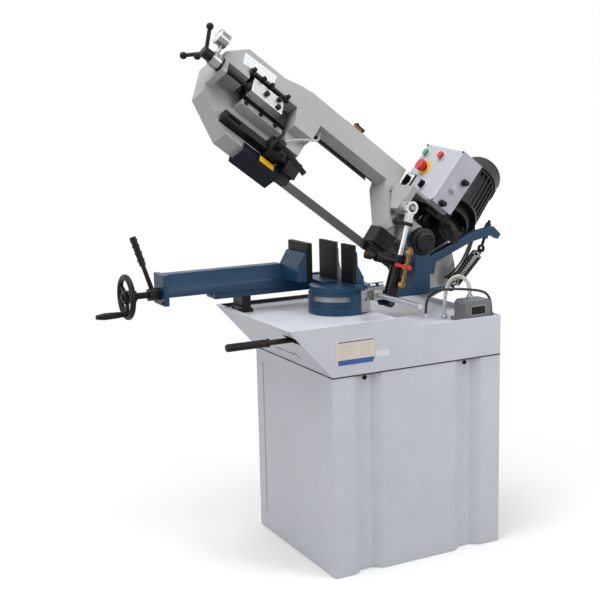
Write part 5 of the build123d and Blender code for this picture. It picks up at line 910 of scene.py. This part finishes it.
GEAR_COVER = at(-100, -138, 0)
GEAR_RIDGES = ((43, 46.5, 150, 155), (38, 41, 150, 158.5), (31, 34, 156, 160), (23, 26.5, 161, 164),
               (13.5, 17, 165, 168))
GEAR_BOLTS = ((-156, -222, 150), (-68, -222, 150), (-66, -184, 150), (-158, -190, 150))
DUCT_SPOUT = ((0, 0), (13, 0), (13, 8), (10, 10), (10, 26), (0, 26))
PIVOT_CAP = ((41.4, -12), (44, -12), (44, 5), (41, 9), (34, 10), (33, 17), (30, 20), (24, 21), (22, 18), (0, 18),
             (0, 0), (41.4, 0))
VALVE_X, VALVE_Y = 36, 9
KNOB = turn_to(FRONT, (0, -86.5, 128))
KNOB_FACE = ((0, 34), (10.5, 34), (10.5, 35.4), (8.5, 36.4), (0, 36.4))
PUMP_SIDE = local_frame((250, 0, 0), (0, 1, 0), ACROSS)


class SAW_OT_drive_fittings(Operator):
    """Puts the ridges, lighter grey as a painted highlight on their rims, bolts, caps, unions and clamps on the drive,
    the damper and the coolant line
    """
    bl_idname = "saw.drive_fittings"
    bl_label = "Drive and damper fittings"

    def execute(self, context):
        # The gear cover's ridges and bolts take the lighter fan hood grey, not black: a painted highlight on the rings
        gear = [(ring(*sizes, 56, 1), GEAR_COVER) for sizes in GEAR_RIDGES] + hex_bolts(13, GEAR_BOLTS)
        fit("gear_cover_ridges", "hood_grey_and_ridge_highlight", "bow", BOW, gear)
        duct = [block((-40, 70), (-124, -102.6), (-92, -20), 5)]
        duct += [(turned(DUCT_SPOUT, 28), turn_to(FRONT, (x, -124, -56))) for x in (-12, 40)]
        fit("cable_duct", "black_plastic", "bow", CONTROL, duct)
        hood = []
        for place in round_places((0, 0), 78.8, 4, 380, 0.5):
            hood += screws(5, 3, [place], (*place[:2], 0))
        fit("hood_screws", "machined_steel", "bow", MOTOR, hood)
        cap = [(turned(PIVOT_CAP, 56), turn_to(ACROSS, (80.3, *PIVOT.yz)))]
        fit("pivot_cap", "black_paint", "swivel", WORLD, cap)
        unions = [(hex_head(22, 12), at(VALVE_X, VALVE_Y, z)) for z in (56, 112, 160)]
        unions += [(ring(5.9, 8.4, z, z + 5, 24, 1), at(VALVE_X, VALVE_Y, 0)) for z in (84, 94, 138, 148)]
        fit("valve_unions", "valve_brass", "damper_valve", DAMPER, unions)
        knob = [(drum(7, 0, 16, 24), KNOB), (knurled(13.5, 14, 34, 20), KNOB)]
        fit("feed_knob_cap", "black_plastic", "feed_knob", DAMPER, knob)
        fit("feed_knob_face", "valve_brass", "feed_knob", DAMPER, [(turned(KNOB_FACE, 28), KNOB)])
        clamps = [(ring(8.2, 10, 0, 7, 28, 0.8), at(202, 226, 797)),
                  (ring(9.2, 10.8, 0, 6, 28, 0.8), at(162, 158, 734))]
        fit("hose_clamps", "machined_steel", "base", WORLD, clamps)
        feet = screws(4, 3, product((184, 250), (172, 288), (740,)))
        fit("pump_screws", "machined_steel", "base", WORLD, feet)
        fit("pump_plate", "turned_steel", "base", PUMP_SIDE, [(plate(56, 30, 0.6, 2), at(224, 764, 0))])
        fit("pump_plate_face", "black_plastic", "base", PUMP_SIDE, [(plate(51, 25, 0.4, 1.5), at(224, 764, 0.6))])
        bar = [block((-11, 11), (-52, 14), (243, 255), 2), (hex_head(13, 7), at(0, -44, 236))]
        fit("damper_crossbar", "black_paint", "damper_rod", DAMPER, bar + screws(6, 5, [(0, -44, 255)]))
        return {"FINISHED"}


# Hoses and cables: control points of each route in millimetres


GLAND_AXIS, GLAND_WAY = Vector((-0.3843, -0.9232, 0)), Vector((-0.773, 0.3217, -0.547))


def gland_place(along, reach):
    """Point on the bow that stands out from the motor's axis in the glands' direction."""
    return tuple(MOTOR_PLACE + GLAND_AXIS * along + GLAND_WAY * reach)


PUMP_HOSE = ((202, 226, 806), (202, 226, 838), (194, 206, 864), (180, 184, 866), (167, 167, 842), (162, 158, 793),
             (162, 158, 744))
PUMP_CABLE = ((118, 118, 744), (118, 118, 780), (134, 126, 808), (166, 140, 824), (200, 166, 830), (226, 204, 828),
              (238, 242, 822), (238, 267, 810), (236, 283, 782), (236, 283, 750))
GUIDE_HOSE = ((430, -218, 80), (430, -192, 80), (440, -160, 92), (466, -124, 104), (502, -92, 110), (536, -66, 104),
              (556, -56, 86), (556, -56, 70))
MOTOR_CABLE_NEAR = (gland_place(340, 84), gland_place(340, 112), (-338, -392, 56), (-332, -338, 54), (-318, -284, 54),
                    (-300, -232, 55), (-280, -184, 56), (-262, -146, 56), (-246, -114, 54), (-238, -100, 42),
                    (-238, -100, 25))
MOTOR_CABLE_FAR = (gland_place(318, 84), gland_place(318, 112), (-325, -374, 57), (-319, -326, 55), (-305, -274, 54),
                   (-287, -224, 55), (-266, -176, 57), (-247, -138, 57), (-230, -106, 54), (-222, -92, 42),
                   (-222, -92, 25))
# Piece, route, frame, radius in millimetres, length in metres, finish, body and the CAD node it stands for
CORDS = (
    ("pump_hose_line", PUMP_HOSE, WORLD, 6.0, 0.218, "clear_hose", "base", "pump_hose"),
    ("pump_cable_line", PUMP_CABLE, WORLD, 4.0, 0.325, "cable_rubber", "base", "pump_cable"),
    ("guide_hose_line", GUIDE_HOSE, BOW, 3.5, 0.241, "clear_hose", "bow", "guide_hose"),
    ("motor_cable_near", MOTOR_CABLE_NEAR, BOW, 4.0, 0.403, "cable_rubber", "bow", "motor_cables"),
    ("motor_cable_far", MOTOR_CABLE_FAR, BOW, 4.0, 0.391, "cable_rubber", "bow", "motor_cables"),
)


def add_cord(name, route, local, radius, real_length, finish, body, node):
    """Hose or cable as one smooth spline over its route, riding on its body in place of its CAD node."""
    curve = bpy.data.curves.new(name, "CURVE")
    curve.dimensions = "3D"
    curve.bevel_depth = radius * MM
    curve.bevel_resolution = 4
    curve.resolution_u = 10
    curve.use_fill_caps = True
    spline = curve.splines.new("NURBS")
    spline.points.add(len(route) - 1)
    places = [local @ Vector(point) for point in route]
    for point, place in zip(spline.points, places):
        point.co = (*place, 1.0)
    spline.order_u = 3
    spline.use_endpoint_u = True
    curve.materials.append(FINISHES[finish])
    piece = link_object(name, curve)
    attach(piece, body)
    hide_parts(node)


class SAW_OT_hoses(Operator):
    """Lays the coolant hoses and the cables along their routes"""
    bl_idname = "saw.hoses"
    bl_label = "Hoses and cables"

    def execute(self, context):
        for row in CORDS:
            add_cord(*row)
        return {"FINISHED"}


# Counter spring


HOOK_RADIUS, HOOK_REST = 12.0, 4.65
HOOK_ANGLE, HOOK_STEPS = math.radians(300), 26
COIL_LENGTH = 132.0
STEPS_PER_TURN = 20
WIRE_SIDES = 10


def wire_ring(shape, centre, toward, radius):
    """Open ring of the wire's section about a point, facing along the wire."""
    made = bmesh.ops.create_circle(shape, cap_ends=False, segments=WIRE_SIDES, radius=radius,
                                   matrix=turn_to(toward, centre))
    return made["verts"], list({e for v in made["verts"] for e in v.link_edges})


def spun(shape, verts, edges, centre, axis, angle, steps, rise=0.0):
    """Draws a ring of wire round an axis and returns the last ring's edges."""
    made = bmesh.ops.spin(shape, geom=verts + edges, cent=centre, axis=axis, dvec=tuple(Vector(axis) * rise),
                          angle=angle, steps=steps, use_merge=False)
    return [g for g in made["geom_last"] if isinstance(g, bmesh.types.BMEdge)]


def spring_coil(radius, wire_radius, turns, start):
    """Coil of one wire with a round hook at each end, z up the spring."""
    shape = bmesh.new()
    pitch = COIL_LENGTH / turns
    verts, first = wire_ring(shape, (radius, 0, start), (0, 1, pitch / (FULL_TURN * radius)), wire_radius)
    last = spun(shape, verts, first, (0, 0, 0), (0, 0, 1), FULL_TURN * turns, STEPS_PER_TURN * turns,
                pitch / STEPS_PER_TURN)
    for sign, coil_end, level in ((1, first, 0), (-1, last, start * 2 + COIL_LENGTH)):
        height = level + sign * (HOOK_REST + HOOK_RADIUS)
        verts, edges = wire_ring(shape, (HOOK_RADIUS, 0, height), (0, 0, 1), wire_radius)
        end = spun(shape, verts, edges, (0, 0, height), (0, 1, 0), sign * HOOK_ANGLE, HOOK_STEPS)
        bmesh.ops.bridge_loops(shape, edges=coil_end + edges)
        bmesh.ops.holes_fill(shape, edges=end, sides=0)
    return tidy(shape)


class SAW_OT_spring(Operator):
    """Winds the counter spring between its two eyes"""
    bl_idname = "saw.spring"
    bl_label = "Counter spring"

    def execute(self, context):
        sizes = context.scene.saw_sizes
        start = (SPRING_LINE.length - COIL_LENGTH) / 2
        shape = spring_coil(sizes.spring_coil / MM, sizes.spring_wire / MM, sizes.spring_turns, start)
        bmesh.ops.transform(shape, matrix=SPRING, verts=shape.verts)
        piece = add_object(shape, "counter_spring_wire", "black_paint")
        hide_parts("counter_spring")
        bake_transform(piece)
        return {"FINISHED"}


# Stage


CAMERA_PLACE = (3.0268, -1.8166, 1.41663)
CAMERA_AXES = ((0.4591, 0.8881, -0.0222), (-0.1464, 0.1002, 0.9842), (0.8762, -0.4486, 0.1760))
CAMERA_LENS, SENSOR, CLIP_END = 67.12, 36.0, 200
AIM = Vector((0.0, -0.1, 0.8))
LAMPS = {"key": ((2.8, 1.7, 1.9), 1.2), "top": ((0.1, -0.7, 5.0), 4.4), "fill": ((1.2, -3.8, 1.9), 2.4)}
WHITE = (1, 1, 1, 1)
FLOOR_SEEN, FLOOR_LIGHT = (0.92, 0.92, 0.92, 1), (0.4, 0.4, 0.4, 1)
FLOOR_DROP = 0.0005


def seen_mask(nodes):
    """One where a camera, mirror or glass ray arrives, nought for the rays that carry light."""
    path = nodes.add("LightPath")
    seen = nodes.math("MAXIMUM", path["Is Camera Ray"], path["Is Transmission Ray"])
    return nodes.math("MAXIMUM", seen, path["Is Glossy Ray"])


def emptied(owner, shader, output):
    """Nodes of a new world or material without its first shader, and the socket to show another on."""
    owner.use_nodes = True
    nodes = owner.node_tree.nodes
    nodes.remove(nodes[shader])
    return Nodes(owner.node_tree), nodes[output].inputs["Surface"]


def make_world(strength):
    """Soft sky, bright overhead and dim below, that a camera sees as plain white."""
    world = bpy.data.worlds.new("studio")
    nodes, surface = emptied(world, "Background", "World Output")
    up = nodes.add("SeparateXYZ", {0: nodes.add("TexCoord")["Generated"]})["Z"]
    glow = nodes.ranged(up, -0.2, 0.9, 0.25 * strength, strength)
    sky = nodes.add("Background", {"Color": WHITE, "Strength": glow})[0]
    white = nodes.add("Background", {"Color": WHITE})[0]
    nodes.feed(surface, nodes.mix_shaders(seen_mask(nodes), sky, white))
    bpy.context.scene.world = world


def make_floor(half, near, far):
    """Pale floor that keeps the machine's shadow and fades to the white of the backdrop."""
    shape = bmesh.new()
    bmesh.ops.create_grid(shape, x_segments=1, y_segments=1, size=half, matrix=at(0, 0, -FLOOR_DROP))
    mesh = bpy.data.meshes.new("floor")
    shape.to_mesh(mesh)
    shape.free()
    material = bpy.data.materials.new("pale floor")
    nodes, surface = emptied(material, "Principled BSDF", "Material Output")
    reach = nodes.add("VectorMath", {0: nodes.add("TexCoord")["Object"]}, operation="LENGTH")["Value"]
    pale, dim = [nodes.add("BsdfDiffuse", {"Color": level})[0] for level in (FLOOR_SEEN, FLOOR_LIGHT)]
    fade = nodes.ranged(reach, near, far, smooth=True)
    shown = nodes.mix_shaders(fade, pale, nodes.add("Emission")[0])
    nodes.feed(surface, nodes.mix_shaders(seen_mask(nodes), dim, shown))
    mesh.materials.append(material)
    link_object("floor", mesh)


def make_lamp(name, place, size, energy):
    """Square lamp that looks at the machine."""
    lamp = bpy.data.lights.new(name, "AREA")
    lamp.shape = "SQUARE"
    lamp.size = size
    lamp.energy = energy
    holder = link_object(name, lamp)
    holder.location = place
    holder.rotation_euler = (AIM - Vector(place)).to_track_quat("-Z", "Y").to_euler()


class SAW_OT_stage(Operator):
    """Sets up the floor, the soft light and the camera"""
    bl_idname = "saw.stage"
    bl_label = "Stage"

    def execute(self, context):
        stage = context.scene.saw_stage
        make_world(stage.sky)
        make_floor(stage.floor, stage.fade_from, stage.fade_to)
        for name, (place, size) in LAMPS.items():
            make_lamp(name, place, size, getattr(stage, name))
        lens = bpy.data.cameras.new("camera")
        lens.lens = CAMERA_LENS
        lens.sensor_width = SENSOR
        lens.sensor_fit = "HORIZONTAL"
        lens.clip_end = CLIP_END
        camera = link_object("camera", lens)
        camera.matrix_world = Matrix.Translation(CAMERA_PLACE) @ Matrix(CAMERA_AXES).transposed().to_4x4()
        context.scene.camera = camera
        context.scene.view_settings.view_transform = "Standard"
        return {"FINISHED"}


# Panel and registration


GROUP_CLASSES = {"saw_colours": SawColours, "saw_sizes": SawSizes, "saw_stage": SawStage}
OPERATORS = (SAW_OT_castings, SAW_OT_stand_fittings, SAW_OT_vise_fittings, SAW_OT_tension_fittings,
             SAW_OT_control_fittings, SAW_OT_drive_fittings, SAW_OT_hoses, SAW_OT_spring, SAW_OT_stage)


class SAW_PT_panel(Panel):
    """Lists the saw's settings and pieces in the sidebar"""
    bl_idname = "SAW_PT_panel"
    bl_label = "Band Saw"
    bl_space_type = "VIEW_3D"
    bl_region_type = "UI"
    bl_category = "Band Saw"

    def draw(self, context):
        for key, group in GROUP_CLASSES.items():
            for name in group.__annotations__:
                self.layout.prop(getattr(context.scene, key), name)
        for operator in OPERATORS:
            self.layout.operator(operator.bl_idname)


CLASSES = (*GROUP_CLASSES.values(), *OPERATORS, SAW_PT_panel)


def register():
    for item in CLASSES:
        bpy.utils.register_class(item)
    for key, group in GROUP_CLASSES.items():
        setattr(bpy.types.Scene, key, PointerProperty(type=group))


def unregister():
    for key in GROUP_CLASSES:
        delattr(bpy.types.Scene, key)
    for item in reversed(CLASSES):
        bpy.utils.unregister_class(item)


def main():
    register()
    for operator in OPERATORS:
        family, name = operator.bl_idname.split(".")
        getattr(getattr(bpy.ops, family), name)()
    bpy.context.view_layer.update()


if __name__ == "__main__":
    main()
